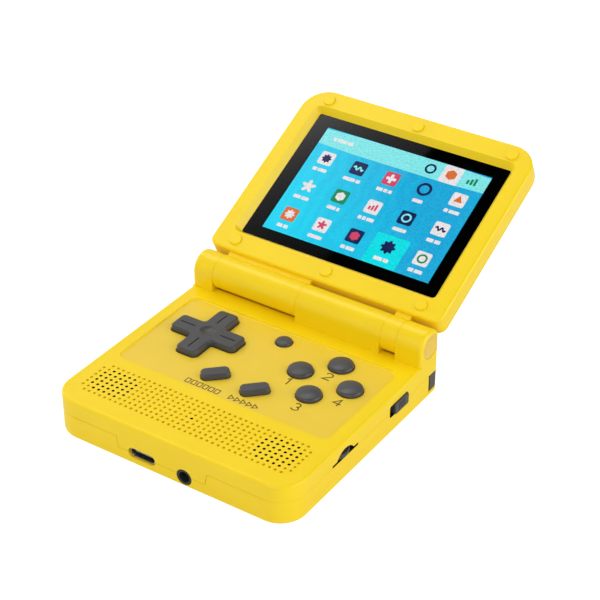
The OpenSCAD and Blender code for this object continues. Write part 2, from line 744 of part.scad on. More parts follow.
module base_bottom_shell() {
  cover_mid = (cover_y0 + cover_y1) / 2;
  color(YELLOW) difference() {
    union() {
      intersection() {
        base_hollow();
        difference() {
          translate([-body_w, -body_d, -1]) cube([2 * body_w, 2 * body_d, seam_z + 1]);
          tongue(seam_gap);
        }
      }
      for (p = case_posts) translate([p[0], p[1], EPS]) cylinder(r = post_r, h = seam_z - EPS);
      for (s = [-1, 1]) translate([s * pivot_x, pivot_y, 1])
        cylinder(r = ear_r, h = shoulder_z0 - shoulder_gap - 1);
      translate([0, cover_screw_y, 1]) cylinder(r = post_r, h = board_z0 - 2.2);
      battery_ribs();
    }
    front_holes();
    side_slots();
    for (s = [0, 1]) mirror([s, 0, 0]) shoulder_room();
    // Battery opening with a ledge round it
    block(0, battery_y, -1, battery_w + 2 * cover_gap, battery_d + 2 * cover_gap, floor_t + 2);
    block(0, cover_mid, -1, cover_w + 2 * cover_gap, cover_y1 - cover_y0 + 2 * cover_gap, cover_t + 1);
    translate([0, cover_screw_y, -1]) cylinder(r = screw_r + 0.02, h = board_z0 - 1.2);
    // Floor let down under the headphone socket
    block(jack_x, front_y + wall + 6, jack_z - jack_r - 0.1, 7, 12, 3);
    for (p = case_posts) translate([p[0], p[1], -1]) {
      cylinder(r = screw_head_r + 0.15, h = 1 + 1.9);
      cylinder(r = screw_r + 0.2, h = seam_z + 2);
    }
    for (s = [-1, 1]) translate([s * pivot_x, pivot_y, 0.8]) cylinder(r = pivot_r + 0.03, h = 3);
  }
}

module control_panel() {
  color(PANEL) difference() {
    translate([0, panel_y, panel_seat]) slab(panel_w, panel_d, panel_t, panel_r, panel_r, 0, 0.12);
    button_holes(button_gap + 0.05, panel_seat - 1);
  }
}

module battery_cover() {
  color(YELLOW) difference() {
    translate([0, (cover_y0 + cover_y1) / 2, 0])
      slab(cover_w, cover_y1 - cover_y0, cover_t - 0.05, 1, 1, 0.2, 0);
    translate([0, cover_screw_y, -1]) cylinder(r = screw_r + 0.15, h = 4);
    translate([0, cover_screw_y, -1]) cylinder(r = screw_head_r + 0.1, h = 1.7);
    for (i = [-2:2]) block(0, cover_y0 + 4 + i * 1.1, -1, 12, 0.5, 1.25);
  }
}

// A screw with its head down: head from z0, thread up to z1, with a cross recess
module screw(z0, z1, head_h, head_r) {
  difference() {
    union() {
      translate([0, 0, z0]) cylinder(r = head_r, h = head_h);
      translate([0, 0, z0 + head_h - EPS]) cylinder(r = screw_r, h = z1 - z0 - head_h);
    }
    for (a = [0, 90]) rotate([0, 0, a]) translate([-head_r * 0.55, -0.2, z0 - EPS])
      cube([head_r * 1.1, 0.4, head_h * 0.5]);
  }
}

module battery_cover_screw() {
  color(STEEL) translate([0, cover_screw_y, 0]) screw(0.15, board_z0 - 2.4, 0.55, screw_head_r);
}

module case_screws() {
  color(STEEL) for (p = case_posts) translate([p[0], p[1], 0])
    screw(0.8, deck_under - 1.2, 1.1, screw_head_r);
}

module board_screws() {
  color(STEEL) for (p = board_posts) translate([p[0], p[1], 0])
    screw(board_z0 - 0.8, deck_under - 1.2, 0.8, 1.5);
}

// ---- Boards and power ----

module main_board() {
  w = body_w - 2 * wall - 2 * board_gap;
  y0 = front_y + wall + 1;
  notch = 9;
  color(BOARD_GREEN) difference() {
    translate([-w / 2, y0, board_z0]) cube([w, board_back - y0, board_t]);
    for (s = [-1, 1])
      block(s * w / 2, y0, board_z0 - 1, 2 * notch - 2 * board_gap, 2 * notch - 2, board_t + 2);
    for (p = board_posts) translate([p[0], p[1], board_z0 - 1])
      cylinder(r = screw_r + 0.1, h = board_t + 2);
  }
}

// The chips on the board: place across and along, then width, depth and height
chips = [[0, 5.5, 11, 11, 1], [0, -15.5, 9, 7, 0.9], [-14, -14, 5, 5, 0.8], [15, -16.5, 6, 4, 0.8],
  [-6, board_back - 3.2, 8, 3.4, 0.9]];

module board_chips() {
  color(BLACK) {
    for (c = chips) block(c[0], c[1], board_top, c[2], c[3], c[4]);
  }
}

module battery() {
  color([0.20, 0.28, 0.45]) translate([0, battery_y, battery_z0])
    slab(battery_w, battery_d, battery_z1 - battery_z0, 1.5, 1.5, 0.5, 0.5);
}

module battery_contacts() {
  y1 = battery_y - battery_d / 2;
  color(GOLD) for (x = [-4, 0, 4]) {
    block(x, y1 - 1.9, floor_t + 1, 1.6, 1.4, board_z0 - floor_t - 1);
    block(x, y1 - 0.6, board_z0 - 2.6, 1, 1.2, 0.5);
  }
}

// A small round loudspeaker under the deck: basket, cone dish and magnet
module speaker(x) {
  top = deck_under;
  translate([x, -grille_y, 0]) difference() {
    union() {
      translate([0, 0, top - 2.4]) cylinder(r = speaker_r, h = 2.4);
      translate([0, 0, board_top + 0.5]) cylinder(r = speaker_r * 0.55, h = top - 2.3 - board_top - 0.5);
    }
    translate([0, 0, top - 1.6]) cylinder(r1 = speaker_r * 0.4, r2 = speaker_r * 0.85, h = 1.6 + EPS);
  }
}
speaker_x = ((grille_columns - 1) / 2 - 1 - (open_columns - 1) / 2) * grille_pitch;

module speaker_left() { color(BLACK) speaker(-speaker_x); }
module speaker_right() { color(BLACK) speaker(speaker_x); }

module usb_socket() {
  l = 7.4;
  y0 = front_y + 0.6;
  color(STEEL) translate([usb_x, y0 + l, usb_z]) rotate([90, 0, 0]) {
    difference() {
      pill(usb_w - 0.7, usb_h - 0.25, l, 0);
      translate([0, 0, 1]) pill(usb_w - 1.3, usb_h - 0.85, l, 0);
    }
    block(0, 0, 0.5, usb_w - 3, 0.7, l - 1.5);
    block(0, board_z0 - usb_z - 0.15, 0, usb_w - 4, 0.3, 4);
  }
}

module headphone_socket() {
  body_y0 = front_y + wall + 0.15;
  color(CHARCOAL) difference() {
    union() {
      translate([jack_x, body_y0 + EPS, jack_z]) rotate([90, 0, 0])
        cylinder(r = jack_r, h = body_y0 + EPS - front_y - 0.1);
      block(jack_x, body_y0 + 5.7, jack_z - jack_r, 6.4, 11.4, board_z0 - jack_z + jack_r);
    }
    translate([jack_x, front_y + jack_depth, jack_z]) rotate([90, 0, 0])
      cylinder(r = jack_bore_r, h = jack_depth + 1);
  }
}

module card_reader() {
  x1 = card_x0 + card_l + 1;
  x0 = -side_x + wall + 0.6;
  color(STEEL) difference() {
    block((x0 + x1) / 2, -card_y, board_top, x1 - x0, card_w + 2, card_t + 0.9);
    block((x0 + x1) / 2 - 1, -card_y, board_top + 0.1, x1 - x0, card_w + 0.3, card_t + 0.3);
  }
}

module memory_card() {
  color(BLACK) translate([card_x0, -card_y - card_w / 2, card_z0]) difference() {
    cube([card_l, card_w, card_t]);
    translate([0.6, 2, card_t - 0.15]) cube([0.6, card_w - 4, 1]);
    translate([card_l - 6, card_w - 1, -1]) cube([7, 2, 3]);
  }
}

module volume_control_body() {
  color(BLACK) translate([wheel_x, -wheel_y, 0]) {
    translate([0, 0, board_top]) cylinder(r = wheel_r - 2.4, h = wheel_z0 - board_top - 0.25);
    translate([0, 0, board_top]) cylinder(r = 1.2, h = wheel_z0 + wheel_t + 0.2 - board_top);
  }
}

module volume_wheel() {
  teeth = 36;
  color(CHARCOAL) translate([wheel_x, -wheel_y, wheel_z0]) difference() {
    rotate_extrude() rim_section(wheel_r, wheel_t, 0.25, 0.25);
    translate([0, 0, -1]) cylinder(r = 1.2 + run_gap, h = wheel_t + 2);
    for (i = [0:teeth - 1]) rotate([0, 0, i * 360 / teeth]) translate([wheel_r + 0.1, 0, -1])
      cylinder(r = 0.3, h = wheel_t + 2);
  }
}

module power_switch_body() {
  d = 3;
  l = power_slot_l + 1.4;
  lever_l = l - 2.7;
  x1 = side_x - wall - 1.6;
  color(STEEL) difference() {
    block(x1 - d / 2, power_y, board_top, d, l, 3);
    translate([x1 - 1.2, power_y - lever_l / 2, board_top + 0.9]) cube([2, lever_l, 1.2]);
  }
}

module power_switch_knob() {
  play = (power_slot_l - power_knob_l) / 2 - 0.15;
  plate_x = side_x - wall - 1;
  plate_l = power_slot_l + 2 * play + 1.3;
  plate_h = power_slot_h + 1;
  color(CHARCOAL) translate([0, power_y + play, 0]) {
    translate([plate_x + 0.5, 0, power_z]) rotate([90, 0, 90])
      slab(power_knob_l, power_slot_h - 0.3, side_x + power_rise - plate_x - 0.5,
        power_slot_r - 0.1, power_slot_r - 0.1, 0, 0.35);
    block(plate_x + 0.4, 0, power_z - plate_h / 2, 0.8, plate_l, plate_h);
    translate([side_x - wall - 2.5, -1, board_top + 1.15]) cube([1.7, 2, 0.7]);
    for (y = [-1.5:1:1.5]) block(side_x + power_rise, y, power_z - 1.1, 0.3, 0.45, 2.2);
  }
}

// ---- Buttons ----

// A dome of the rubber pad, from the sheet up to the flange that it carries
module dome(x, y, z1) {
  z0 = board_top + pad_sheet_t - EPS;
  translate([x, y, z0]) cylinder(r1 = dome_r + 0.6, r2 = dome_r, h = z1 - z0);
}

module action_pad() {
  span = 2 * action_pitch + 2 * dome_r + 2;
  color(RUBBER) {
    block(action_x, cluster_y, board_top, span, dome_r * 2 + 3, pad_sheet_t);
    block(action_x, cluster_y, board_top, dome_r * 2 + 3, span, pad_sheet_t);
    for (p = action_places) dome(p[0], p[1], flange_z0);
  }
}

module option_pad() {
  color(RUBBER) {
    block(0, -option_y, board_top, 2 * option_x + 8, 7, pad_sheet_t);
    for (s = [-1, 1]) dome(s * option_x, -option_y, flange_z0);
  }
}

module menu_pad() {
  color(RUBBER) {
    block(0, menu_y, board_top, 8, 8, pad_sheet_t);
    dome(0, menu_y, flange_z0);
  }
}

dpad_flange_t = 0.7;
dpad_flange_r = pad_span / 2 + 0.9;
dpad_flange_top = deck_under - dpad_flange_r * sqrt(2) * sin(pad_tilt) - 0.1;
dpad_flange_z0 = dpad_flange_top - dpad_flange_t;
dpad_pivot_top = dpad_flange_z0 - 0.3;
dpad_pivot_r = 3;
dome_reach = 8.6;
dpad_dome_top = dpad_flange_z0 - (dome_reach + dome_r * sqrt(2)) * sin(pad_tilt) - 0.05;

module dpad_pad() {
  span = 2 * dome_reach + 2 * dome_r + 2;
  color(RUBBER) translate([-pad_x, pad_y, 0]) difference() {
    union() {
      block(0, 0, board_top, span, 7.5, pad_sheet_t);
      block(0, 0, board_top, 7.5, span, pad_sheet_t);
      for (a = [0:90:270]) dome(dome_reach * cos(a), dome_reach * sin(a), dpad_dome_top);
    }
    translate([0, 0, board_top - 1]) cylinder(r = 1.3, h = 3);
  }
}

// The puck that the direction pad rocks on; it stands on the board through the rubber pad
module dpad_pivot() {
  z0 = board_top + 0.25;
  color(CHARCOAL) translate([-pad_x, pad_y, 0]) {
    translate([0, 0, z0 + 0.8]) cylinder(r = dpad_pivot_r, h = dpad_pivot_top - z0 - 0.8);
    translate([0, 0, z0]) cylinder(r1 = 0.4, r2 = 1, h = 0.8 + EPS);
  }
}

module dpad_cross() {
  top = panel_top + pad_rise;
  h = top - dpad_flange_top + EPS;
  edge = 0.7;
  dish_r = 5;
  dish_depth = 0.7;
  color(CHARCOAL) translate([-pad_x, pad_y, 0]) difference() {
    union() {
      translate([0, 0, dpad_flange_z0]) cylinder(r = dpad_flange_r, h = dpad_flange_t);
      translate([0, 0, dpad_flange_top - EPS]) {
        for (a = [0, 90]) rotate([0, 0, a]) slab(pad_span, pad_arm, h, pad_tip_r, pad_tip_r, 0, edge);
        for (a = [0:90:270]) rotate([0, 0, a]) pad_fillet(pad_arm / 2, pad_inner_r, h, edge);
      }
    }
    translate([0, 0, top + dish_r - dish_depth]) sphere(r = dish_r);
    for (a = [0:90:270]) rotate([0, 0, a]) block(pad_span / 2 - 4.5, 0, top - 0.4, 5.5, 0.45, 1);
  }
}

// Half section of a cap of radius r and height h: its top is an arc of radius curve that runs
// smoothly into an edge of radius edge
module cap_section(r, h, edge, curve) {
  edge_h = h - curve + sqrt(pow(curve - edge, 2) - pow(r - edge, 2));
  meet_x = (r - edge) * curve / (curve - edge);
  square([r, edge_h]);
  translate([r - edge, edge_h]) circle(edge);
  intersection() {
    translate([0, h - curve]) circle(r = curve, $fn = 180);
    square([meet_x, h + 1]);
  }
}

// A round button with a domed cap of radius r that stands rise above the panel
module round_button(r, rise, edge, curve) {
  translate([0, 0, flange_z0]) rotate_extrude() {
    square([r + flange_reach, flange_t]);
    cap_section(r, panel_top + rise - flange_z0, edge, curve);
  }
}

module action_button(i) {
  color(CHARCOAL) translate([action_places[i][0], action_places[i][1], 0])
    round_button(action_r, action_rise, 0.7, 13);
}
module action_button_left() { action_button(0); }
module action_button_top() { action_button(1); }
module action_button_right() { action_button(2); }
module action_button_bottom() { action_button(3); }

module menu_button() {
  color(CHARCOAL) translate([0, menu_y, 0]) round_button(menu_r, menu_rise, 0.5, 9);
}

module option_button(s) {
  color(CHARCOAL) translate([s * option_x, -option_y, flange_z0]) rotate([0, 0, option_turn]) {
    plate(option_l + 2 * flange_reach, option_w + 2 * flange_reach, flange_t,
      option_corner_r + flange_reach, option_corner_r + flange_reach);
    slab(option_l, option_w, panel_top + option_rise - flange_z0, option_corner_r, option_corner_r, 0, 0.7);
  }
}
module select_button() { option_button(-1); }
module start_button() { option_button(1); }

// The right-hand shoulder button: an angle round the corner, two ears on the pin and a nose for the switch
module shoulder_button() {
  h = shoulder_z1 - shoulder_z0;
  thick = wall;
  color(CHARCOAL) difference() {
    union() {
      intersection() {
        translate([0, 0, shoulder_z0]) slab(body_w, body_d, h, front_corner_r, rear_corner_r, 0.3, 0.3);
        union() {
          translate([shoulder_x0, back_y - thick, 0]) cube([shoulder_l + 1, thick + 1, body_h]);
          translate([side_x - thick, back_y - shoulder_side, 0]) cube([thick + 1, shoulder_side + 1, body_h]);
        }
      }
      for (z = [shoulder_z0, shoulder_z1 - ear_h]) {
        translate([pivot_x, pivot_y, z]) cylinder(r = ear_r, h = ear_h);
        translate([pivot_x - ear_r, pivot_y, z]) cube([2 * ear_r, back_y - thick - pivot_y + EPS, ear_h]);
      }
      translate([nose_x - 1, back_y - thick - 1.2, shoulder_z0 + 1.8]) cube([2, 1.2 + EPS, 2]);
    }
    translate([pivot_x, pivot_y, 0]) cylinder(r = pivot_r + run_gap, h = body_h);
  }
}
module shoulder_button_right() { shoulder_button(); }
module shoulder_button_left() { mirror([1, 0, 0]) shoulder_button(); }

module shoulder_pins() {
  color(STEEL) for (s = [-1, 1]) translate([s * pivot_x, pivot_y, 0.8])
    cylinder(r = pivot_r, h = deck_under - 2.2);
}

module shoulder_switches() {
  y1 = back_y - wall - 1.2 - shoulder_swing;
  color(BLACK) for (s = [-1, 1]) {
    block(s * nose_x, y1 - 1.6, floor_t, 5, 2.2, 4.2);
    block(s * nose_x, y1 - 0.3, shoulder_z0 + 1.9, 1.6, 0.6, 1.6);
  }
}

module shoulder_spring(s) {
  gap = 0.2;
  z0 = shoulder_z0 + ear_h + gap;
  mid_r = (pivot_r + back_y - wall - pivot_y) / 2;
  color(STEEL) translate([s * pivot_x, pivot_y, z0]) coil(mid_r, 0.13, 2, shoulder_z1 - ear_h - gap - z0);
}
module shoulder_spring_left() { shoulder_spring(-1); }
module shoulder_spring_right() { shoulder_spring(1); }

// ---- Hinge ----

module hinge_bush() {
  color(STEEL) at_hinge() difference() {
    x_rod(bush_r, barrel_x0 + cap_t + 1.1, left_seam_x + 4.5);
    x_rod(bush_r - 1, barrel_x0, left_seam_x + 5);
    translate([flex_x0 - 0.3, -0.9, -hinge_rise - 1]) cube([2.8, 1.8, hinge_rise + 1]);
  }
}

cartridge_x0 = 6.2;
cartridge_wall = 0.8;
collar_x0 = mid_knuckle_x1 - 5.2;
collar_t = 3;

module hinge_cartridge() {
  color(STEEL) at_hinge() difference() {
    x_rod(cartridge_r, cartridge_x0, mid_knuckle_x1 - 0.1);
    x_rod(cartridge_r - cartridge_wall, cartridge_x0 + 1.2, collar_x0 + collar_t + 0.1);
    x_rod(shaft_r + run_gap, collar_x0, mid_knuckle_x1 + 1);
  }
}

module hinge_spring() {
  spring_x0 = cartridge_x0 + 1.25;
  color(STEEL) at_hinge() translate([spring_x0, 0, 0]) rotate([0, 90, 0])
    coil(2.3, 0.3, 8, collar_x0 - 0.1 - spring_x0);
}

module hinge_shaft() {
  color(STEEL) at_hinge() {
    x_rod(shaft_r - 0.5, cartridge_x0 + 2, collar_x0 + EPS);
    x_rod(cartridge_r - cartridge_wall - run_gap, collar_x0, collar_x0 + collar_t);
    x_rod(shaft_r, collar_x0 + collar_t - EPS, right_seam_x + 5.4);
  }
}

module hinge_end_caps() {
  color(YELLOW) at_hinge() for (s = [0, 1]) mirror([s, 0, 0]) difference() {
    x_rod(cap_r, barrel_x1 - cap_t, barrel_x1 - 0.1);
    translate([barrel_x1 + cap_dish_r - 0.9, 0, 0]) sphere(r = cap_dish_r);
  }
}

module display_flex_lower() {
  w = 2.2;
  color([0.75, 0.45, 0.15]) {
    translate([flex_x0, board_back - 1, board_top])
      cube([w, hinge_y - board_back + 1 + flex_t / 2, flex_t]);
    translate([flex_x0, hinge_y - flex_t / 2, board_top]) cube([w, flex_t, hinge_z - board_top]);
    at_hinge() x_rod(flex_r, flex_x0, flex_meet_x - 0.15);
  }
}

module display_flex_upper() {
  v1 = lid_near + lid_wall + 2.3;
  n0 = display_under + 0.4;
  color([0.75, 0.45, 0.15]) {
    at_hinge() x_rod(flex_r, flex_meet_x + 0.15, flex_u0 + flex_w);
    on_lid() {
      translate([flex_u0, 0, -flex_t / 2]) cube([flex_w, v1 + flex_t, flex_t]);
      translate([flex_u0, v1, n0]) cube([flex_w, flex_t, flex_t / 2 - n0]);
      translate([flex_u0, v1, n0]) cube([flex_w, picture_near - display_border - v1, flex_t]);
    }
  }
}

// ---- Lid ----

// The lid as one closed hollow shell in its own axes, before it is parted
module lid_hollow() {
  difference() {
    translate([0, lid_mid_v, lid_back])
      slab(lid_w, lid_len, lid_t, lid_near_r, lid_corner_r, lid_back_edge_r, lid_face_edge_r);
    translate([0, lid_mid_v, lid_back + lid_back_t])
      plate(lid_w - 2 * lid_wall, lid_len - 2 * lid_wall, lid_under - lid_back - lid_back_t,
        lid_near_r - lid_wall, lid_corner_r - lid_wall);
  }
}

// A plate of the glass's outline grown by g, from n0 to n1
module glass_plate(g, n0, n1) {
  r = window_r + max(g, 0);
  translate([0, glass_mid_v, n0]) plate(glass_w + 2 * g, glass_h + 2 * g, n1 - n0, r, r);
}

// The window: wide at the face, narrowing to the glass
module window() {
  r = window_r;
  x = glass_w / 2 - r;
  y = glass_h / 2 - r;
  lift = 0.02;
  slope = window_spread / window_depth;
  r0 = r - lift * slope;
  r1 = r + window_spread + lift * slope;
  hull() for (sx = [-1, 1], sy = [-1, 1]) translate([sx * x, glass_mid_v + sy * y, glass_top - lift])
    cylinder(r1 = r0, r2 = r1, h = window_depth + 2 * lift, $fn = 32);
}

// A barrel of the lid with its flange
module lid_barrel(x0, x1) {
  n0 = lid_seam_n + seam_gap;
  n1 = 2.6;
  x_rod(hinge_r, x0, x1);
  translate([x0, 0, n0]) cube([x1 - x0, lid_near + flange_root, n1 - n0]);
}

bumper_places = [for (v = [bumper_near, bumper_far]) for (x = [-1, 0, 1]) [x * bumper_x, v]];
lid_screw_places = [for (p = bumper_places) if (p[0] != 0) p];
lid_head_r = 1.6;
lid_head_t = 0.9;
lid_head_n = boss_split_n + 0.6;

module lid_front_frame() {
  long_x0 = left_seam_x + barrel_gap;
  long_x1 = mid_knuckle_x0 - barrel_gap;
  short_x0 = mid_knuckle_x1 + barrel_gap;
  short_x1 = right_seam_x - barrel_gap;
  color(YELLOW) on_lid() difference() {
    union() {
      intersection() {
        lid_hollow();
        translate([-lid_w, 0, lid_seam_n + seam_gap]) cube([2 * lid_w, 2 * lid_reach, lid_t]);
      }
      glass_plate(glass_lap + 1, glass_top, lid_under + EPS);
      for (p = lid_screw_places) translate([p[0], p[1], boss_split_n])
        cylinder(r = 2.5, h = lid_under - boss_split_n + EPS);
      lid_barrel(long_x0, long_x1);
      lid_barrel(short_x0, short_x1);
    }
    window();
    for (p = bumper_places) translate([p[0], p[1], lid_face - bumper_seat])
      cylinder(r = bumper_r + 0.03, h = 2);
    for (p = lid_screw_places) translate([p[0], p[1], boss_split_n - 1]) {
      cylinder(r = screw_r + 0.15, h = lid_t);
      translate([0, 0, lid_head_n - boss_split_n + 1]) cylinder(r = lid_head_r + 0.1, h = lid_t);
    }
    x_rod(bush_r + run_gap, long_x0 - 1, long_x1 - 2.5);
    x_rod(shaft_r + 0.02, short_x0 - 1, short_x1 + 1);
    translate([flex_u0 - 0.5, 0, -2 * flex_t]) cube([flex_w + 1, lid_near + lid_wall + 1, 4 * flex_t]);
  }
}

module lid_back_shell() {
  color(YELLOW) on_lid() difference() {
    union() {
      intersection() {
        lid_hollow();
        translate([-lid_w, 0, lid_back - 1]) cube([2 * lid_w, 2 * lid_reach, lid_seam_t + 1]);
      }
      for (p = lid_screw_places) translate([p[0], p[1], lid_back + lid_back_t - EPS])
        cylinder(r = 2.2, h = boss_split_n - lid_back - lid_back_t);
      for (s = [-1, 1]) block(s * rib_x, glass_mid_v, lid_back + lid_back_t - EPS,
        rib_w, glass_h - 2 * rib_end, bracket_under - lid_back - lid_back_t + EPS);
    }
    for (p = lid_screw_places) translate([p[0], p[1], lid_back + lid_back_t - 0.3])
      cylinder(r = screw_r + 0.02, h = lid_t);
  }
}

module lid_screws() {
  tip = lid_back + lid_back_t + 0.2;
  color(STEEL) on_lid() for (p = lid_screw_places) translate([p[0], p[1], 0]) mirror([0, 0, 1])
    screw(-lid_head_n - lid_head_t, -tip, lid_head_t, lid_head_r);
}

module lid_bumpers() {
  color(YELLOW) on_lid() for (p = bumper_places) translate([p[0], p[1], lid_face - bumper_seat])
    rotate_extrude() rim_section(bumper_r, bumper_seat + bumper_rise, 0, 0.25);
}

module screen_lens() {
  color([0.3, 0.35, 0.4, 0.4]) on_lid() glass_plate(glass_lap, glass_under, glass_top);
}

module lens_gasket() {
  color(BLACK) on_lid() difference() {
    glass_plate(glass_lap, mask_under, glass_under);
    translate([-picture_w / 2, picture_near, mask_under - 1]) cube([picture_w, picture_h, 3]);
  }
}

// A plate round the picture, grown by g on every side, from n0 to n1
module picture_plate(g, n0, n1) {
  translate([-picture_w / 2 - g, picture_near - g, n0]) cube([picture_w + 2 * g, picture_h + 2 * g, n1 - n0]);
}

module display_panel() {
  color([0.10, 0.55, 0.75]) on_lid() picture_plate(display_border, display_under, mask_under);
}

module display_backlight() {
  color([0.9, 0.9, 0.9]) on_lid() picture_plate(display_border, backlight_under, display_under);
}

module display_bracket() {
  side = 0.4;
  color(STEEL) on_lid() difference() {
    picture_plate(display_border + side + 0.1, bracket_under, display_under + 0.3);
    picture_plate(display_border + 0.1, backlight_under, mask_under);
    for (i = [-1:1]) block(i * bay, picture_near + picture_h / 2, bracket_under - 1, bay - bracket_bar,
      picture_h - 2 * bracket_rim, bracket_t + 2);
  }
}

base_top_shell();
hinge_knuckles();
base_bottom_shell();
control_panel();
battery_cover();
battery_cover_screw();
case_screws();
board_screws();
main_board();
board_chips();
battery();
battery_contacts();
speaker_left();
speaker_right();
usb_socket();
headphone_socket();
card_reader();
memory_card();
volume_control_body();
volume_wheel();
power_switch_body();
power_switch_knob();
action_pad();
option_pad();
menu_pad();
dpad_pad();
dpad_pivot();
dpad_cross();
action_button_left();
action_button_top();
action_button_right();
action_button_bottom();
menu_button();
select_button();
start_button();
shoulder_button_left();
shoulder_button_right();
shoulder_pins();
shoulder_switches();
shoulder_spring_left();
shoulder_spring_right();
hinge_bush();
hinge_cartridge();
hinge_spring();
hinge_shaft();
hinge_end_caps();
display_flex_lower();
display_flex_upper();
lid_front_frame();
lid_back_shell();
lid_screws();
lid_bumpers();
screen_lens();
lens_gasket();
display_panel();
display_backlight();
display_bracket();
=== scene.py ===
"""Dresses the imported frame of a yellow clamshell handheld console.

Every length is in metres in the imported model's own frame: +X to the player's right, +Y to the hinge,
+Z up. The lid has a frame of its own, (u, v, n): u along the hinge, v up the open lid, n out of its face.
"""
from __future__ import annotations

import json
import logging
import math
from dataclasses import dataclass
from enum import Enum
from typing import Callable

import bpy
import numpy as np
from bpy.types import ID, Material, Node, NodeSocket, NodeTree, Object
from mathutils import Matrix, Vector

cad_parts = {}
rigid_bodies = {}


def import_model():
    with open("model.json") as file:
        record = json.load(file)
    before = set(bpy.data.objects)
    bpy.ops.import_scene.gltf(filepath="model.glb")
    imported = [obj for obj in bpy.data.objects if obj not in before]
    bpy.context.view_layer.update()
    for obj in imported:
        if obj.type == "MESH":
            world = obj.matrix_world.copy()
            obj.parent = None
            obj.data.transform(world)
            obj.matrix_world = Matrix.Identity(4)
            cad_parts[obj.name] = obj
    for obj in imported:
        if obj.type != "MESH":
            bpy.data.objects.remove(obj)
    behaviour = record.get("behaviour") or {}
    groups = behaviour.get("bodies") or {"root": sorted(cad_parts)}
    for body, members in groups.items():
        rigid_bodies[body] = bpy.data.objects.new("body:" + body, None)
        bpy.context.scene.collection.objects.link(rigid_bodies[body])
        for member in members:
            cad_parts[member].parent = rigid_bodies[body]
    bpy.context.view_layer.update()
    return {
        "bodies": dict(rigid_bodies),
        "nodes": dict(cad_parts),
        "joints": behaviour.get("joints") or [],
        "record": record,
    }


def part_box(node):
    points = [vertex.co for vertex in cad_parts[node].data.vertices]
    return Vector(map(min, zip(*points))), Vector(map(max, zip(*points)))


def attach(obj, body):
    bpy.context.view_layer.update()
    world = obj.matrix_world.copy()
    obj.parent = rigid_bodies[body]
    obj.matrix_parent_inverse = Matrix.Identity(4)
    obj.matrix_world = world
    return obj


LOG = logging.getLogger("console")
MM = 0.001
Colour = tuple[float, float, float]
Place = tuple[float, float]
Triple = tuple[float, float, float]
Surface = tuple[np.ndarray, list[list[int]]]
Outline = Callable[[np.ndarray], np.ndarray]


def srgb(red: int, green: int, blue: int) -> Colour:
    """A colour given as 0 to 255 on the screen, as the linear numbers that shaders take."""
    parts = np.array([red, green, blue]) / 255.0
    linear = np.where(parts <= 0.04045, parts / 12.92, ((parts + 0.055) / 1.055) ** 2.4)
    return tuple(float(x) for x in linear)


# ---- surfaces


def skin(rows: np.ndarray, flip: bool = False) -> Surface:
    """Closes rings of points into a solid: quads between neighbouring rings, one face over each end.

    Args:
        rows: Points, (rings, points in a ring, 3). The faces point outwards where a ring runs
            anticlockwise seen from the last one.
        flip: Turns every face round, for rings that run clockwise.

    Returns:
        The points as (n, 3) and the faces as lists of point numbers.
    """
    rings, count = rows.shape[:2]
    here = np.arange(count)
    after = np.roll(here, -1)
    base = (np.arange(rings - 1) * count)[:, None]
    quads = np.stack([base + here, base + after, base + count + after, base + count + here], -1)
    faces = quads.reshape(-1, 4).tolist()
    faces.append(here[::-1].tolist())
    faces.append((here + (rings - 1) * count).tolist())
    if flip:
        faces = [face[::-1] for face in faces]
    return rows.reshape(-1, 3), faces


def tablet(centre: Place, low: float, high: float, edge: Outline, around: int, turn: float = 0.0) -> Surface:
    """A flat plate whose outline is a distance from its centre at each angle.

    The outline's point at angle t is centre + edge(t) * (cos(t + turn), sin(t + turn)). It is carried
    from height low to height high.

    Args:
        centre: Where the middle lies.
        low: The underside's height.
        high: The top's height.
        edge: The distance from the middle to the outline, as a function of the angle in radians.
        around: How many points the outline has.
        turn: A turn of the whole plate, in radians.

    Returns:
        Points and faces.
    """
    t = np.linspace(0, 2 * math.pi, around, endpoint=False)
    r = edge(t)
    ring = np.stack([centre[0] + r * np.cos(t + turn), centre[1] + r * np.sin(t + turn)], -1)
    return skin(np.stack([np.c_[ring, np.full(around, low)], np.c_[ring, np.full(around, high)]]))


def ribbon(path: np.ndarray, width: float, low: float, high: float, closed: bool = False) -> Surface:
    """A flat stroke: a rectangle of the given width carried along a path in the plane.

    At each point of the path the rectangle stands across the mean direction of the two steps that meet
    there, and is widened by 1 / cos(half the bend), so that the stroke keeps its width round a corner.

    Args:
        path: Points, (n, 2).
        width: The stroke's width.
        low: The underside's height.
        high: The top's height.
        closed: Whether the last point runs on to the first.

    Returns:
        Points and faces.
    """
    if closed:
        path = np.r_[path, path[:1]]
    step = np.diff(path, axis=0)
    step /= np.linalg.norm(step, axis=1)[:, None]
    before = np.r_[step[-1:] if closed else step[:1], step]
    following = np.r_[step, step[:1] if closed else step[-1:]]
    mean = before + following
    mean /= np.linalg.norm(mean, axis=1)[:, None]
    bend = np.clip(np.sum(mean * before, axis=1), 0.4, 1.0)
    side = np.c_[-mean[:, 1], mean[:, 0]] * (width / 2 / bend)[:, None]
    left, right = path + side, path - side
    down, up = np.full(len(path), low), np.full(len(path), high)
    rows = np.stack([np.c_[left, down], np.c_[right, down], np.c_[right, up], np.c_[left, up]], axis=1)
    return skin(rows, flip=True)


def sleeve(rings: np.ndarray) -> Surface:
    """Closes rings of points into a tube that runs back into itself, with quads all over.

    Args:
        rings: Points, (profile points, points along the path, 3). The faces point outwards where the
            profile runs clockwise as seen by someone who walks along the path.

    Returns:
        Points and faces.
    """
    sections, count = rings.shape[:2]
    index = np.arange(sections * count).reshape(sections, count)
    up, ahead = np.roll(index, -1, 0), np.roll(index, -1, 1)
    quads = np.stack([index, ahead, np.roll(up, -1, 1), up], -1)
    return rings.reshape(-1, 3), quads.reshape(-1, 4).tolist()


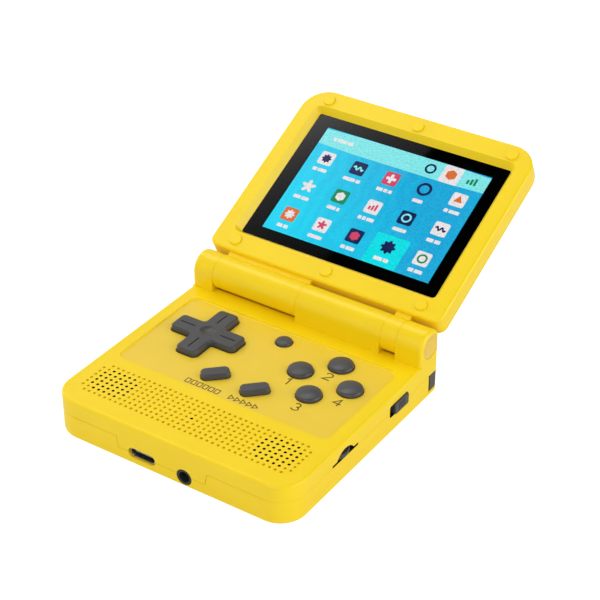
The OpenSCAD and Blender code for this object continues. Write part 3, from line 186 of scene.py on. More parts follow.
def arc(centre: Place, radius: Place, start: float, stop: float, count: int = 14) -> np.ndarray:
    """Points of an ellipse's arc: centre + (rx * cos(t), ry * sin(t)), t from start to stop in degrees."""
    t = np.radians(np.linspace(start, stop, count))
    return np.c_[centre[0] + radius[0] * np.cos(t), centre[1] + radius[1] * np.sin(t)]


def rounded(half_x: float, half_y: float, radii: Place, inset: float, steps: int = 9) -> np.ndarray:
    """The outline of a rounded rectangle, moved inwards by an inset.

    Each corner is a quarter circle of radius r - inset about its own centre, so that every inset runs
    alongside the outline.

    Args:
        half_x: Half its width.
        half_y: Half its depth.
        radii: The radius of the two front corners and of the two rear ones.
        inset: How far inside the outline the points lie.
        steps: Points in each corner.

    Returns:
        Points anticlockwise, (4 * steps, 2).
    """
    front, rear = radii
    corners = ((1, 1, rear, 0), (-1, 1, rear, 90), (-1, -1, front, 180), (1, -1, front, 270))
    return np.concatenate([
        arc((sx * (half_x - r), sy * (half_y - r)), (max(r - inset, 1e-5),) * 2, a, a + 90, steps)
        for sx, sy, r, a in corners])


def round_box(width: float, height: float, power: float) -> Outline:
    """The outline of a rounded rectangle: (|cos t| / a)^p + (|sin t| / b)^p = r^-p, half sides a and b."""
    return lambda t: ((np.abs(np.cos(t)) / (width / 2)) ** power
                      + (np.abs(np.sin(t)) / (height / 2)) ** power) ** (-1 / power)


def many_sided(sides: int, radius: float) -> Outline:
    """The outline of a regular polygon: r = radius * cos(s / 2) / cos(t mod s - s / 2), s = 2 pi / sides."""
    sector = 2 * math.pi / sides
    return lambda t: radius * math.cos(sector / 2) / np.cos(np.mod(t, sector) - sector / 2)


def lobed(count: int, inner: float, outer: float) -> Outline:
    """An outline with lobes: r swings between inner and outer as 0.5 + 0.5 * cos(count * t)."""
    return lambda t: inner + (outer - inner) * (0.5 + 0.5 * np.cos(count * t))


def solid(name: str, finish: Material, parts: list[Surface],
          place: Callable[[np.ndarray], np.ndarray] = lambda points: points) -> Object:
    """Joins points and faces into one object at the origin, with its place in its mesh.

    Args:
        name: The object's name.
        finish: Its material.
        parts: The surfaces, in their own plane.
        place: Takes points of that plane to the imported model's frame.

    Returns:
        The object, linked to the scene.
    """
    points, faces, start = [], [], 0
    for verts, loops in parts:
        points.append(verts)
        faces += [[index + start for index in loop] for loop in loops]
        start += len(verts)
    mesh = bpy.data.meshes.new(name)
    mesh.from_pydata(place(np.concatenate(points)).tolist(), [], faces)
    mesh.update()
    mesh.materials.append(finish)
    made = bpy.data.objects.new(name, mesh)
    bpy.context.scene.collection.objects.link(made)
    LOG.info("built %s from %d parts", name, len(parts))
    return made


# ---- finishes


class Nodes:
    """The nodes of one tree, with short calls to add and join them."""

    def __init__(self, tree: NodeTree) -> None:
        """Empties the tree."""
        self.tree = tree
        self.tree.nodes.clear()

    def node(self, kind: str, **values: object) -> Node:
        """Adds a node and sets its fields, or its inputs where the name is one of theirs.

        Args:
            kind: The node's type, without "ShaderNode".
            values: Fields in lower case, or inputs with spaces written as underscores.

        Returns:
            The node.
        """
        made = self.tree.nodes.new("ShaderNode" + kind)
        for key, value in values.items():
            socket = made.inputs.get(key.replace("_", " "))
            if socket is not None:
                socket.default_value = value
            else:
                setattr(made, key, value)
        return made

    def join(self, out: NodeSocket, node: Node, socket: str | int) -> None:
        """Links an output to a node's input, given by its name or number."""
        self.tree.links.new(out, node.inputs[socket])

    def span(self, out: NodeSocket, low: float, high: float, start: float = 0.3, stop: float = 0.7,
             soft: bool = False) -> NodeSocket:
        """Stretches start..stop to low..high, eased at both ends where soft, and holds a value beyond them."""
        made = self.node("MapRange", From_Min=start, From_Max=stop, To_Min=low, To_Max=high)
        if soft:
            made.interpolation_type = "SMOOTHSTEP"
        self.join(out, made, "Value")
        return made.outputs["Result"]

    def step(self, operation: str, *values: NodeSocket | float) -> NodeSocket:
        """One step of a Math node, whose inputs are each linked or fixed."""
        made = self.node("Math", operation=operation)
        for index, value in enumerate(values):
            if isinstance(value, float):
                made.inputs[index].default_value = value
            else:
                self.join(value, made, index)
        return made.outputs[0]

    def axes(self, vector: NodeSocket) -> tuple[NodeSocket, ...]:
        """The x, y and z of a vector."""
        made = self.node("SeparateXYZ")
        self.join(vector, made, 0)
        return tuple(made.outputs)

    def along(self, vector: NodeSocket, fixed: Triple) -> NodeSocket:
        """The dot product of a vector and a fixed one."""
        made = self.node("VectorMath", operation="DOT_PRODUCT")
        self.join(vector, made, 0)
        made.inputs[1].default_value = fixed
        return made.outputs["Value"]


class Graph(Nodes):
    """A material's nodes around a Principled shader."""

    def __init__(self, name: str) -> None:
        """Starts a material with an output and the shader."""
        self.material = bpy.data.materials.new(name)
        self.material.use_nodes = True
        super().__init__(self.material.node_tree)
        self.shader = self.node("BsdfPrincipled")
        self.join(self.shader.outputs["BSDF"], self.node("OutputMaterial"), "Surface")

    def set(self, **values: object) -> None:
        """Sets the shader's own inputs."""
        for key, value in values.items():
            self.shader.inputs[key.replace("_", " ")].default_value = value

    def place(self, **change: Triple) -> NodeSocket:
        """The object's own coordinates, through a Mapping node where a change is asked for."""
        own = self.node("TexCoord").outputs["Object"]
        if not change:
            return own
        made = self.node("Mapping", **change)
        self.join(own, made, "Vector")
        return made.outputs["Vector"]

    def noise(self, size: float, detail: float = 2.0,
              where: NodeSocket | None = None) -> NodeSocket:
        """Noise from 0 to 1 whose lumps are about size across, at the object's own place or another."""
        made = self.node("TexNoise", Scale=1 / size, Detail=detail)
        self.join(self.place() if where is None else where, made, "Vector")
        return made.outputs["Fac"]

    def mix(self, share: NodeSocket, first: Colour | NodeSocket,
            second: Colour) -> NodeSocket:
        """A colour between a fixed or linked one and a fixed one, by a share from 0 to 1."""
        made = self.node("Mix", data_type="RGBA")
        if isinstance(first, tuple):
            made.inputs[6].default_value = (*first, 1)
        else:
            self.join(first, made, 6)
        made.inputs[7].default_value = (*second, 1)
        self.join(share, made, 0)
        return made.outputs[2]

    def bump(self, out: NodeSocket, depth: float) -> None:
        """Raises the surface by a value times depth."""
        made = self.node("Bump", Strength=1.0, Distance=depth)
        self.join(out, made, "Height")
        self.join(made.outputs["Normal"], self.shader, "Normal")

    def shine(self, colour: NodeSocket) -> Material:
        """Makes the surface a nearly black one that gives off a colour, and gives the material."""
        self.join(colour, self.shader, "Emission Color")
        self.set(Base_Color=(0.01, 0.01, 0.01, 1), Roughness=0.6, Specular_IOR_Level=0.0,
                 Emission_Strength=1.0)
        return self.material


@dataclass(frozen=True)
class Plastic:
    """Moulded plastic: a fine grain, clouds in the colour 14 mm across and an uneven gloss.

    Attributes:
        name: The material's name.
        colour: The plain colour.
        cloud: The colour in the clouds.
        roughness: The least and the greatest roughness.
        grain: The size of the mould's grain.
        depth: The depth of the grain.
        specular: The strength of the reflection, 0.5 for common plastic.
    """
    name: str
    colour: Colour
    cloud: Colour
    roughness: Place
    grain: float = 0.35 * MM
    depth: float = 0.004 * MM
    specular: float = 0.5

    def make(self) -> Material:
        """Builds the material."""
        g = Graph(self.name)
        g.join(g.mix(g.span(g.noise(14 * MM, 3), 0, 1), self.colour, self.cloud), g.shader, "Base Color")
        g.join(g.span(g.noise(3 * MM, 4), *self.roughness), g.shader, "Roughness")
        g.bump(g.noise(self.grain), self.depth)
        g.set(Specular_IOR_Level=self.specular)
        return g.material


@dataclass(frozen=True)
class Metal:
    """Plated or brushed metal, with fine lines along X and spots of duller plating.

    Attributes:
        name: The material's name.
        colour: The plain colour.
        roughness: The least and the greatest roughness.
    """
    name: str
    colour: Colour
    roughness: Place = (0.22, 0.38)

    def make(self) -> Material:
        """Builds the material."""
        g = Graph(self.name)
        lines = g.noise(2.2 * MM, 3.0, g.place(Scale=(1.0, 14.0, 14.0)))
        dull = tuple(0.82 * x for x in self.colour)
        g.join(g.mix(g.span(g.noise(5 * MM, 3), 0, 1), self.colour, dull), g.shader, "Base Color")
        g.join(g.span(lines, *self.roughness), g.shader, "Roughness")
        g.bump(lines, 0.003 * MM)
        g.set(Metallic=1.0)
        return g.material


@dataclass(frozen=True)
class Board:
    """Solder resist over copper, a shade lighter in bands where tracks run under it.

    Attributes:
        name: The material's name.
        colour: The ground.
        track: The bands.
    """
    name: str
    colour: Colour
    track: Colour

    def make(self) -> Material:
        """Builds the material."""
        g = Graph(self.name)
        cells = g.node("TexVoronoi", feature="DISTANCE_TO_EDGE", Scale=1 / (3.4 * MM))
        g.join(g.place(), cells, "Vector")
        share = g.span(cells.outputs["Distance"], 1, 0, 0.06, 0.10)
        g.join(g.mix(share, self.colour, self.track), g.shader, "Base Color")
        g.join(g.span(g.noise(4 * MM), 0.30, 0.42), g.shader, "Roughness")
        g.bump(share, 0.02 * MM)
        return g.material


@dataclass(frozen=True)
class Glass:
    """A clear cover with a gloss coat on its outer face: faint wiped smears show in its bump only.

    Attributes:
        name: The material's name.
        lid: The lid's frame, which tells the outer face from the inner one.
        middle: The height of the glass's middle, n.
    """
    name: str
    lid: "LidFrame"
    middle: float = 1.3 * MM

    def make(self) -> Material:
        """Builds the material."""
        g = Graph(self.name)
        height = g.axes(g.place(Rotation=(-self.lid.tilt, 0, 0)))[2]
        level = self.lid.rise() + self.middle
        g.join(g.span(height, 0, 1, level - 0.1 * MM, level + 0.1 * MM), g.shader, "Coat Weight")
        g.join(g.span(g.noise(9 * MM, 4), 0.0, 0.02), g.shader, "Roughness")
        g.bump(g.noise(6 * MM, 3), 0.0006 * MM)
        g.set(Base_Color=(1, 1, 1, 1), Transmission_Weight=1.0, IOR=1.0, Coat_Roughness=0.02, Coat_IOR=1.5)
        return g.material


@dataclass(frozen=True)
class Lit:
    """A lit patch of the display, in one colour broken by fine dots.

    Attributes:
        name: The material's name.
        colour: The colour.
    """
    name: str
    colour: Colour

    def make(self) -> Material:
        """Builds the material."""
        g = Graph(self.name)
        deep = tuple(0.72 * x for x in self.colour)
        return g.shine(g.mix(g.span(g.noise(0.5 * MM, 4), 0, 1), self.colour, deep))


@dataclass(frozen=True)
class Backdrop:
    """The display's ground: cyan, deeper towards its right, with slow ripples and fine grain.

    Attributes:
        name: The material's name.
        near: The colour at the lower left.
        far: The colour at the upper right.
        dots: The colour of the grain.
        lid: The lid's frame, which the pattern follows.
    """
    name: str
    near: Colour
    far: Colour
    dots: Colour
    lid: "LidFrame"

    def make(self) -> Material:
        """Builds the material: the share of far grows with u + a part of v + 9 mm of ripple."""
        g = Graph(self.name)
        turned = g.place(Rotation=(-self.lid.tilt, 0, 0), Location=(0, -self.lid.reach(), 0))
        u, v, _ = g.axes(turned)
        total = g.step("ADD", u, g.span(v, -12 * MM, 8 * MM, 19 * MM, 55 * MM))
        ripple = g.node("TexWave", Scale=70.0, Distortion=9.0, Detail=3.0, Detail_Scale=1.6)
        g.join(turned, ripple, "Vector")
        wavy = g.step("MULTIPLY_ADD", ripple.outputs["Fac"], 9 * MM, total)
        ground = g.mix(g.span(wavy, 0, 1, -30 * MM, 22 * MM), self.near, self.far)
        return g.shine(g.mix(g.span(g.noise(0.45 * MM, 4), 0, 0.4), ground, self.dots))


def dress(frame: dict, finish: Material, *nodes: str) -> None:
    """Puts one material into every slot of the named nodes' objects.

    Args:
        frame: The loaded frame.
        finish: The material.
        nodes: The nodes' names.
    """
    for name in nodes:
        made = frame["nodes"][name]
        if not made.material_slots:
            made.data.materials.append(finish)
        for slot in made.material_slots:
            slot.material = finish
        LOG.info("dressed %s in %s", name, finish.name)


# ---- sub-assemblies


@dataclass
class LidFrame:
    """The open lid's own frame.

    Attributes:
        axis_y: The hinge axis, behind the origin.
        axis_z: The hinge axis, above the underside.
        tilt: The open lid's slope above the level, in radians.
    """
    axis_y: float = 34.85 * MM
    axis_z: float = 18.4 * MM
    tilt: float = math.radians(26)

    def reach(self) -> float:
        """How far the hinge axis lies from the origin along the lid's slope."""
        return self.axis_y * math.cos(self.tilt) + self.axis_z * math.sin(self.tilt)

    def rise(self) -> float:
        """How high the hinge axis lies over the origin, square to the lid's slope."""
        return self.axis_z * math.cos(self.tilt) - self.axis_y * math.sin(self.tilt)

    def place(self, points: np.ndarray) -> np.ndarray:
        """Takes lid points (u, v, n) to the model's frame.

        x = u; y = axis + v * cos(tilt) - n * sin(tilt); z = axis + v * sin(tilt) + n * cos(tilt).

        Args:
            points: Points, (n, 3).

        Returns:
            The placed points, (n, 3).
        """
        u, v, n = points.T
        c, s = math.cos(self.tilt), math.sin(self.tilt)
        return np.c_[u, self.axis_y + v * c - n * s, self.axis_z + v * s + n * c]


class Mark(Enum):
    """The plain marks that are printed on the panel."""
    ONE = 1
    TWO = 2
    THREE = 3
    FOUR = 4
    SQUARE = 5
    TRIANGLE = 6


@dataclass
class PrintedMarks:
    """Plain numbers beside the round buttons and rows of small outlines under the two options.

    Attributes:
        height: A number's height.
        width: A number's width.
        stroke: The width of its line.
        film: The thickness of the ink.
        small: An outline's size.
        pitch: The distance from one outline to the next.
        row_y: Where the rows of outlines lie.
        ink: The printing ink.
    """
    height: float = 3.3 * MM
    width: float = 2.7 * MM
    stroke: float = 0.42 * MM
    film: float = 0.02 * MM
    small: float = 1.9 * MM
    pitch: float = 2.1 * MM
    row_y: float = -12.6 * MM
    ink: Plastic = Plastic("ink_brown", (0.10, 0.06, 0.014), (0.13, 0.08, 0.02), (0.5, 0.6),
                           0.2 * MM, 0.001 * MM, 0.3)

    def strokes(self, mark: Mark) -> list[np.ndarray]:
        """The lines of a mark, in a box from (-0.5, -0.5) to (0.5, 0.5)."""
        if mark is Mark.ONE:
            return [np.array([[-0.28, 0.26], [0.06, 0.5], [0.06, -0.5]])]
        if mark is Mark.TWO:
            return [np.r_[arc((0, 0.2), (0.42, 0.3), 165, -25), [[-0.44, -0.5], [0.46, -0.5]]]]
        if mark is Mark.THREE:
            return [arc((-0.04, 0.24), (0.36, 0.26), 150, -80), arc((-0.04, -0.25), (0.44, 0.26), 85, -155)]
        if mark is Mark.FOUR:
            return [np.array([[0.2, -0.5], [0.2, 0.5], [-0.46, -0.16], [0.5, -0.16]])]
        if mark is Mark.SQUARE:
            return [np.array([[-0.36, -0.5], [0.36, -0.5], [0.36, 0.5], [-0.36, 0.5]])]
        return [np.array([[-0.36, -0.5], [0.42, 0.0], [-0.36, 0.5]])]

    def build(self) -> None:
        """Draws every mark on the panel's top and makes it ride on the base."""
        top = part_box("control_panel")[1].z
        parts = []
        for mark, x, y in ((Mark.ONE, 12.4, 3.2), (Mark.TWO, 20.9, 11.7), (Mark.THREE, 21.4, -5.9),
                           (Mark.FOUR, 30.1, 2.4)):
            for line in self.strokes(mark):
                path = line * (self.width, self.height) + (x * MM, y * MM)
                parts.append(ribbon(path, self.stroke, top, top + self.film))
        for mark, first, count in ((Mark.SQUARE, -12.4, 6), (Mark.TRIANGLE, 3.2, 5)):
            for line in self.strokes(mark):
                for index in range(count):
                    path = line * self.small + (first * MM + index * self.pitch, self.row_y)
                    parts.append(ribbon(path, self.stroke * 0.75, top, top + self.film, True))
        made = solid("printed_marks", self.ink.make(), parts)
        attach(made, "base")


class Motif(Enum):
    """The plain shapes in the picture's tiles."""
    RING = 1
    WEDGE = 2
    BARS = 3
    COG = 4
    WAVE = 5
    PLUS = 6
    HEX = 7
    FLOWER = 8


# The picture's tiles in rows from the upper left: the tile's colour if it has one, the motif and its
# colour, and the lengths of the dashes under it in millimetres.
TILES = (
    ("white", Motif.COG, "navy", (1.6, 3.2)), ("navy", Motif.WAVE, "ice", (4.4, 1.5)),
    ("rose", Motif.PLUS, "white", (2.2, 1.4, 1.2)), (None, Motif.RING, "navy", (3.6,)),
    ("white", Motif.WEDGE, "orange", (1.4, 3.6)), (None, Motif.FLOWER, "white", (2.6, 2.6)),
    ("green", Motif.HEX, "white", (3.2, 1.0)), ("white", Motif.BARS, "rose", (1.2, 1.2, 2.6)),
    ("navy", Motif.RING, "ice", (4.8,)), ("white", Motif.WAVE, "navy", (2.4, 2.0)),
    ("orange", Motif.COG, "white", (2.0, 1.6)), ("white", Motif.FLOWER, "rose", (5.2,)),
    ("navy", Motif.HEX, "rose", (1.5, 3.0)), (None, Motif.COG, "navy", (3.0, 1.8)),
    ("white", Motif.RING, "green", (1.8, 2.8)),
)


@dataclass
class Picture:
    """The lit picture: a bar, tiles with plain shapes, and dashes under them, as thin plates on the display.

    Attributes:
        lid: The lid's frame.
        left: The picture's left edge, u.
        right: Its right edge, u.
        low: Its lower edge, v.
        high: Its upper edge, v.
        inset: The ground's margin round the bar and the tiles.
        ground: The display's top, n.
        film: The thickness of one layer.
        bar: The height of the bar at the top.
        columns: How many tiles stand side by side.
        rows: How many rows of tiles.
        icon: A tile's size.
        chosen: The number of the tile on a brighter cell.
    """
    lid: LidFrame
    left: float = -30.7 * MM
    right: float = 30.7 * MM
    low: float = 19.4 * MM
    high: float = 62.4 * MM
    inset: float = 0.04 * MM
    ground: float = 0.7 * MM
    film: float = 0.02 * MM
    bar: float = 7.0 * MM
    columns: int = 5
    rows: int = 3
    icon: float = 5.2 * MM
    chosen: int = 13

    def heights(self, level: int) -> Place:
        """The underside and the top of a layer, counted from 0."""
        return self.ground + level * self.film, self.ground + (level + 1) * self.film

    def plate(self, middle: Place, width: float, height: float, level: int, power: float = 9.0) -> Surface:
        """A rounded plate in a layer."""
        return tablet(middle, *self.heights(level), round_box(width, height, power), 64)

    def shape(self, motif: Motif, middle: Place, size: float, level: int) -> list[Surface]:
        """The plates of one motif.

        Args:
            motif: Which shape.
            middle: Its centre, (u, v).
            size: Its width.
            level: Its layer.

        Returns:
            Points and faces of each plate.
        """
        low, high = self.heights(level)
        r = size / 2
        if motif is Motif.RING:
            return [ribbon(arc(middle, (r * 0.8, r * 0.8), 0, 345, 24), r * 0.36, low, high, True)]
        if motif is Motif.BARS:
            return [self.plate((middle[0] + k * r * 0.62, middle[1] - (0.3 - 0.15 * (k + 1)) * r),
                               r * 0.42, r * (0.8 + 0.3 * (k + 1)), level) for k in (-1, 0, 1)]
        if motif is Motif.WAVE:
            u = np.linspace(-r, r, 25)
            path = np.c_[middle[0] + u, middle[1] + 0.34 * r * np.sin(u / r * 2 * math.pi)]
            return [ribbon(path, r * 0.34, low, high)]
        if motif is Motif.PLUS:
            return [self.plate(middle, size, size * 0.3, level),
                    self.plate(middle, size * 0.3, size, level + 1)]
        edge, around, turn = {
            Motif.WEDGE: (many_sided(3, r), 48, math.pi / 2), Motif.COG: (lobed(8, r * 0.72, r), 96, 0.0),
            Motif.HEX: (many_sided(6, r), 48, math.pi / 6),
            Motif.FLOWER: (lobed(5, r * 0.45, r), 80, math.pi / 2),
        }[motif]
        return [tablet(middle, low, high, edge, around, turn)]

    def dashes(self, middle: Place, lengths: tuple[float, ...], level: int) -> list[Surface]:
        """A row of dashes 0.4 mm apart, their lengths in millimetres."""
        gap, made = 0.4 * MM, []
        start = middle[0] - (sum(lengths) * MM + gap * (len(lengths) - 1)) / 2
        for length in lengths:
            made.append(self.plate((start + length * MM / 2, middle[1]), length * MM, 1.3 * MM, level))
            start += length * MM + gap
        return made

    def top_bar(self, parts: dict[str, list[Surface]]) -> None:
        """Adds the bar, three motifs at its right, the middle one on a tile, and dashes at its left."""
        v = self.high - self.inset - self.bar / 2
        width = self.right - self.left - 2 * self.inset
        parts["ice"].append(self.plate(((self.left + self.right) / 2, v), width, self.bar, 0, 60.0))
        signs = ((Motif.BARS, "green"), (Motif.HEX, "orange"), (Motif.RING, "navy"))
        for index, (motif, colour) in enumerate(signs):
            u = self.right - 5.5 * MM - index * 7.5 * MM
            if index == 1:
                parts["white"].append(self.plate((u, v), 6.6 * MM, self.bar - 0.1 * MM, 1, 30.0))
            parts[colour] += self.shape(motif, (u, v), 4.0 * MM, 3)
        parts["white"] += self.dashes((self.left + 8 * MM, v), (1.2, 3.4, 2.2), 1)

    def tiles(self, parts: dict[str, list[Surface]]) -> None:
        """Adds the tiles, each in the middle of its cell, with its dashes under it."""
        cell_w = (self.right - self.left - 2 * self.inset) / self.columns
        cell_h = (self.high - self.bar - self.low - 2 * self.inset) / self.rows
        for index, (tile, motif, colour, lengths) in enumerate(TILES):
            column, row = index % self.columns, index // self.columns
            u = self.left + self.inset + (column + 0.5) * cell_w
            v = self.high - self.bar - self.inset - (row + 0.5) * cell_h
            if index == self.chosen:
                parts["bright"].append(self.plate((u, v), cell_w - 0.3 * MM, cell_h - 0.3 * MM, 0, 40.0))
            centre = (u, v + 1.5 * MM)
            if tile:
                parts[tile].append(self.plate(centre, self.icon, self.icon, 1))
            parts[colour] += self.shape(motif, centre, self.icon * (0.68 if tile else 1.0), 3)
            parts["white"] += self.dashes((u, v - 3.3 * MM), lengths, 1)

    def build(self, lights: dict[str, Material]) -> None:
        """Lays out the picture and makes each colour one piece that rides on the lid.

        Args:
            lights: The lit materials by colour name.
        """
        parts: dict[str, list[Surface]] = {name: [] for name in lights}
        self.top_bar(parts)
        self.tiles(parts)
        for name, plates in parts.items():
            made = solid("picture_" + name, lights[name], plates, self.lid.place)
            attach(made, "lid")


@dataclass(frozen=True)
class WheelSlot:
    """The outline of the wheel's slot: a thin rectangle with an arc of a circle over its middle.

    Its lengths are in millimetres, from the middle of the rectangle's lower edge.

    Attributes:
        half_length: Half the rectangle's length.
        height: The rectangle's height.
        half_width: Half the arc's width where it meets the rectangle.
        rise: How far the arc stands over the rectangle.
    """
    half_length: float = 6.65
    height: float = 0.85
    half_width: float = 4.35
    rise: float = 2.25

    def circle(self) -> Place:
        """The arc's radius, (w * w + h * h) / (2 * h) for half its width w and its rise h, and its centre."""
        radius = (self.half_width ** 2 + self.rise ** 2) / (2 * self.rise)
        return radius, self.height + self.rise - radius

    def outline(self, inset: float) -> np.ndarray:
        """The whole outline, moved inwards by an inset."""
        radius, level = self.circle()
        top, end = self.height - inset, self.half_length - inset
        low = math.degrees(math.asin((top - level) / (radius - inset)))
        arch = arc((0.0, level), (radius - inset,) * 2, low, 180 - low, 21)
        return np.r_[[[end, inset], [end, top]], arch, [[-end, top], [-end, inset]]]

    def crown(self, inset: float) -> np.ndarray:
        """The top of the arc, moved inwards by an inset."""
        radius, level = self.circle()
        return arc((0.0, level), (radius - inset,) * 2, 52, 128, 15)


@dataclass
class Trims:
    """Thin linings that the shells carry: in the seams, round the panel, in the slots and in the open holes.
    The black ones in the slots and the holes are painted shade.

    Attributes:
        lid: The lid's frame, for the hinge axis.
        half_x: Half the base's width.
        half_y: Half its depth.
        corners: The radii of its front and of its rear corners.
        deck: The deck's height.
        panel: Half the panel's width, half its depth and the place of its middle, y.
        seam: The parting line's height.
        gap: The parting line's width.
        depth: How deep the seam shows.
        lip_w: How wide the lip in the seam is.
        hole: The radius of an open hole's lining.
        pitch: The distance between holes.
        side: Where the linings of the side's slots end, x.
        lining: Their thickness.
        wheel_y: The middle of the wheel's slot.
        ring_out: The outer radius of a ring in the barrel.
        ring_in: Its inner radius.
        ring_half: Half its width.
    """
    lid: LidFrame
    half_x: float = 42.0 * MM
    half_y: float = 40.25 * MM
    corners: Place = (8.5 * MM, 2 * MM)
    deck: float = 13.4 * MM
    panel: Triple = (37.5 * MM, 19.55 * MM, 4.7 * MM)
    seam: float = 7.8 * MM
    gap: float = 0.12 * MM
    depth: float = 0.07 * MM
    lip_w: float = 0.9 * MM
    # hole: The outer radius of the black sheet of painted shade in an open hole.
    hole: float = 0.475 * MM
    pitch: float = 1.93 * MM
    # side: Where the black sheets of painted shade in the side's slots end, x.
    side: float = 41.93 * MM
    lining: float = 0.07 * MM
    wheel_y: float = -11.85 * MM
    ring_out: float = 5.3 * MM
    ring_in: float = 4.6 * MM
    ring_half: float = 0.16 * MM

    def bead(self) -> Surface:
        """A hollow fillet from the deck's edge down to the panel, carried along the panel's outline.

        Its section is a quarter ellipse, closed behind: with t from 0 to 90 degrees the inset from the
        outline is (reach + behind) * (1 - cos t) - behind, the height over the panel drop * (1 - sin t).
        Its faces point inwards.

        Returns:
            Points and faces.
        """
        top, reach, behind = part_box("control_panel")[1].z, 0.36 * MM, 0.1 * MM
        t = np.radians(np.linspace(0, 90, 6))
        drop = self.deck - 0.03 * MM - top
        insets = np.r_[-behind, -behind + (reach + behind) * (1 - np.cos(t)), reach]
        heights = np.r_[top - behind, top + drop * (1 - np.sin(t)), top - behind]
        rings = []
        for inset, height in zip(insets, heights):
            flat = rounded(*self.panel[:2], (3 * MM, 3 * MM), inset) + (0, self.panel[2])
            rings.append(np.c_[flat, np.full(len(flat), height)])
        return sleeve(np.stack(rings[::-1]))

    def lip(self) -> list[Surface]:
        """The lower shell's lip in the seam, left out where the side openings cut it.

        A rectangle carried along stretches of the base's outline, a little inside it: five straight ones
        in the sides and the two front corners. The faces of the right side's and the corners' point inwards.

        Returns:
            Points and faces of each stretch.
        """
        side, share = self.half_x - self.depth, np.linspace(0, 1, 60)
        parts = []
        for x, y0, y1 in ((side, 22.6, 34.4), (side, -5.1, 11.9), (side, -31.7, -18.6),
                          (-side, -5.5, 34.4), (-side, -31.7, -17.5)):
            path = np.c_[np.full(60, x), (y0 + (y1 - y0) * share) * MM]
            parts.append(self.strip(path, path - (math.copysign(self.lip_w, x), 0.0)))
        outer, inner = (rounded(self.half_x, self.half_y, self.corners, inset, 33)
                        for inset in (self.depth, self.depth + self.lip_w))
        for first, last in ((66, 99), (99, 132)):
            parts.append(self.strip(outer[first:last], inner[first:last]))
        return parts

    def strip(self, outer: np.ndarray, inner: np.ndarray) -> Surface:
        """A strip between two paths side by side, as high as the seam's gap.

        Args:
            outer: The outer path, (n, 2).
            inner: The inner path, (n, 2).

        Returns:
            Points and faces.
        """
        low, high = np.full(len(outer), self.seam), np.full(len(outer), self.seam + self.gap)
        rows = [np.c_[outer, low], np.c_[outer, high], np.c_[inner, high], np.c_[inner, low]]
        return skin(np.stack(rows, 1))

    def lattice(self, through: bool) -> np.ndarray:
        """The places of the grille's holes that go through, or of its dimples.

        A hole goes through where the column is one of seven over a speaker and the row keeps the cluster's
        corners round, and at one place in the middle. The lattice's four corners are empty.

        Args:
            through: Whether the places of the open holes are asked for.

        Returns:
            The places, (n, 2).
        """
        column, row = np.meshgrid(np.arange(39), np.arange(8), indexing="ij")
        near = np.minimum(column, 38 - column) - 1
        edge = (near == 0) | (near == 6)
        there = (near >= 0) & (near < 7) & (row >= np.where(edge, 2, 1)) & (row <= np.where(edge, 5, 6))
        there |= (column == 19) & (row == 3)
        if not through:
            there = ~there & ~((near == -1) & ((row == 0) | (row == 7)))
        return np.c_[(column[there] - 19) * self.pitch, (row[there] - 3.5) * self.pitch - 26.55 * MM]

    def dots(self) -> list[Surface]:
        """A thin darker disc on the floor of each dimple, a painted shade in the dimple."""
        floor, film = self.deck - 0.6 * MM, 0.02 * MM
        return [tablet(tuple(place), floor, floor + film, lambda t: np.full(len(t), self.hole - film), 14)
                for place in self.lattice(False)]

    def holes(self) -> list[Surface]:
        """Black sheets of painted shade on the walls of the open holes: a rectangle's section carried round
        each hole.
        """
        t = np.linspace(0, 2 * math.pi, 18, endpoint=False)
        turn = np.c_[np.cos(t), np.sin(t)]
        inner, low, high = self.hole - 0.05 * MM, 11.7 * MM, self.deck - 0.04 * MM
        profile = ((self.hole, low), (self.hole, high), (inner, high), (inner, low))
        return [sleeve(np.stack([np.c_[place + r * turn, np.full(18, z)] for r, z in profile]))
                for place in self.lattice(True)]

    def side_ring(self, outline: Callable[[float], np.ndarray], near: float) -> Surface:
        """A thin black ring of painted shade along the outline of a slot in the right side.

        Args:
            outline: Gives the points (y, z) of the outline moved inwards by an inset.
            near: Where the ring starts, x.

        Returns:
            Points and faces.
        """
        rings = []
        for inset, x in ((0.0, near), (0.0, self.side), (self.lining, self.side), (self.lining, near)):
            flat = outline(inset)
            rings.append(np.c_[np.full(len(flat), x), flat])
        return sleeve(np.stack(rings))

    def slots(self) -> list[Surface]:
        """Black sheets of painted shade in the side's slots: a ring along each, and a strip over and one under
        the wheel.

        The upper strip's faces point inwards.
        """
        wheel, shift = WheelSlot(), np.array([self.wheel_y, self.seam])
        parts = [self.side_ring(lambda inset: wheel.outline(inset / MM) * MM + shift, 41.32 * MM),
                 self.side_ring(lambda inset: rounded(5.05 * MM, 2.1 * MM, (0.8 * MM,) * 2, inset, 12)
                                + (17.2 * MM, 8.05 * MM), 40.3 * MM)]
        over, below = (wheel.crown(inset) * MM + shift for inset in (0.0, self.lining / MM))
        near, far = (np.full(len(over), x * MM) for x in (40.25, 41.3))
        rows = [np.c_[near, over], np.c_[far, over], np.c_[far, below], np.c_[near, below]]
        parts.append(skin(np.stack(rows, 1)))
        flat = np.array([[38.6, -18.4], [41.3, -18.4], [41.3, -5.3], [38.6, -5.3]]) * MM
        parts.append(skin(np.stack([np.c_[flat, np.full(4, self.seam + z * MM)] for z in (0.0, 0.06)])))
        return parts

    def barrel(self) -> list[Surface]:
        """Rings a little under the barrel's skin that close the view into its seams."""
        t = np.linspace(0, 2 * math.pi, 64, endpoint=False)
        profile = ((self.ring_out, -self.ring_half), (self.ring_out, self.ring_half),
                   (self.ring_in, self.ring_half), (self.ring_in, -self.ring_half))
        return [sleeve(np.stack([np.c_[np.full(64, middle * MM + side), self.lid.axis_y + radius * np.cos(t),
                                       self.lid.axis_z + radius * np.sin(t)] for radius, side in profile]))
                for middle in (-34.375, -3.125, 27.325, 32.775)]

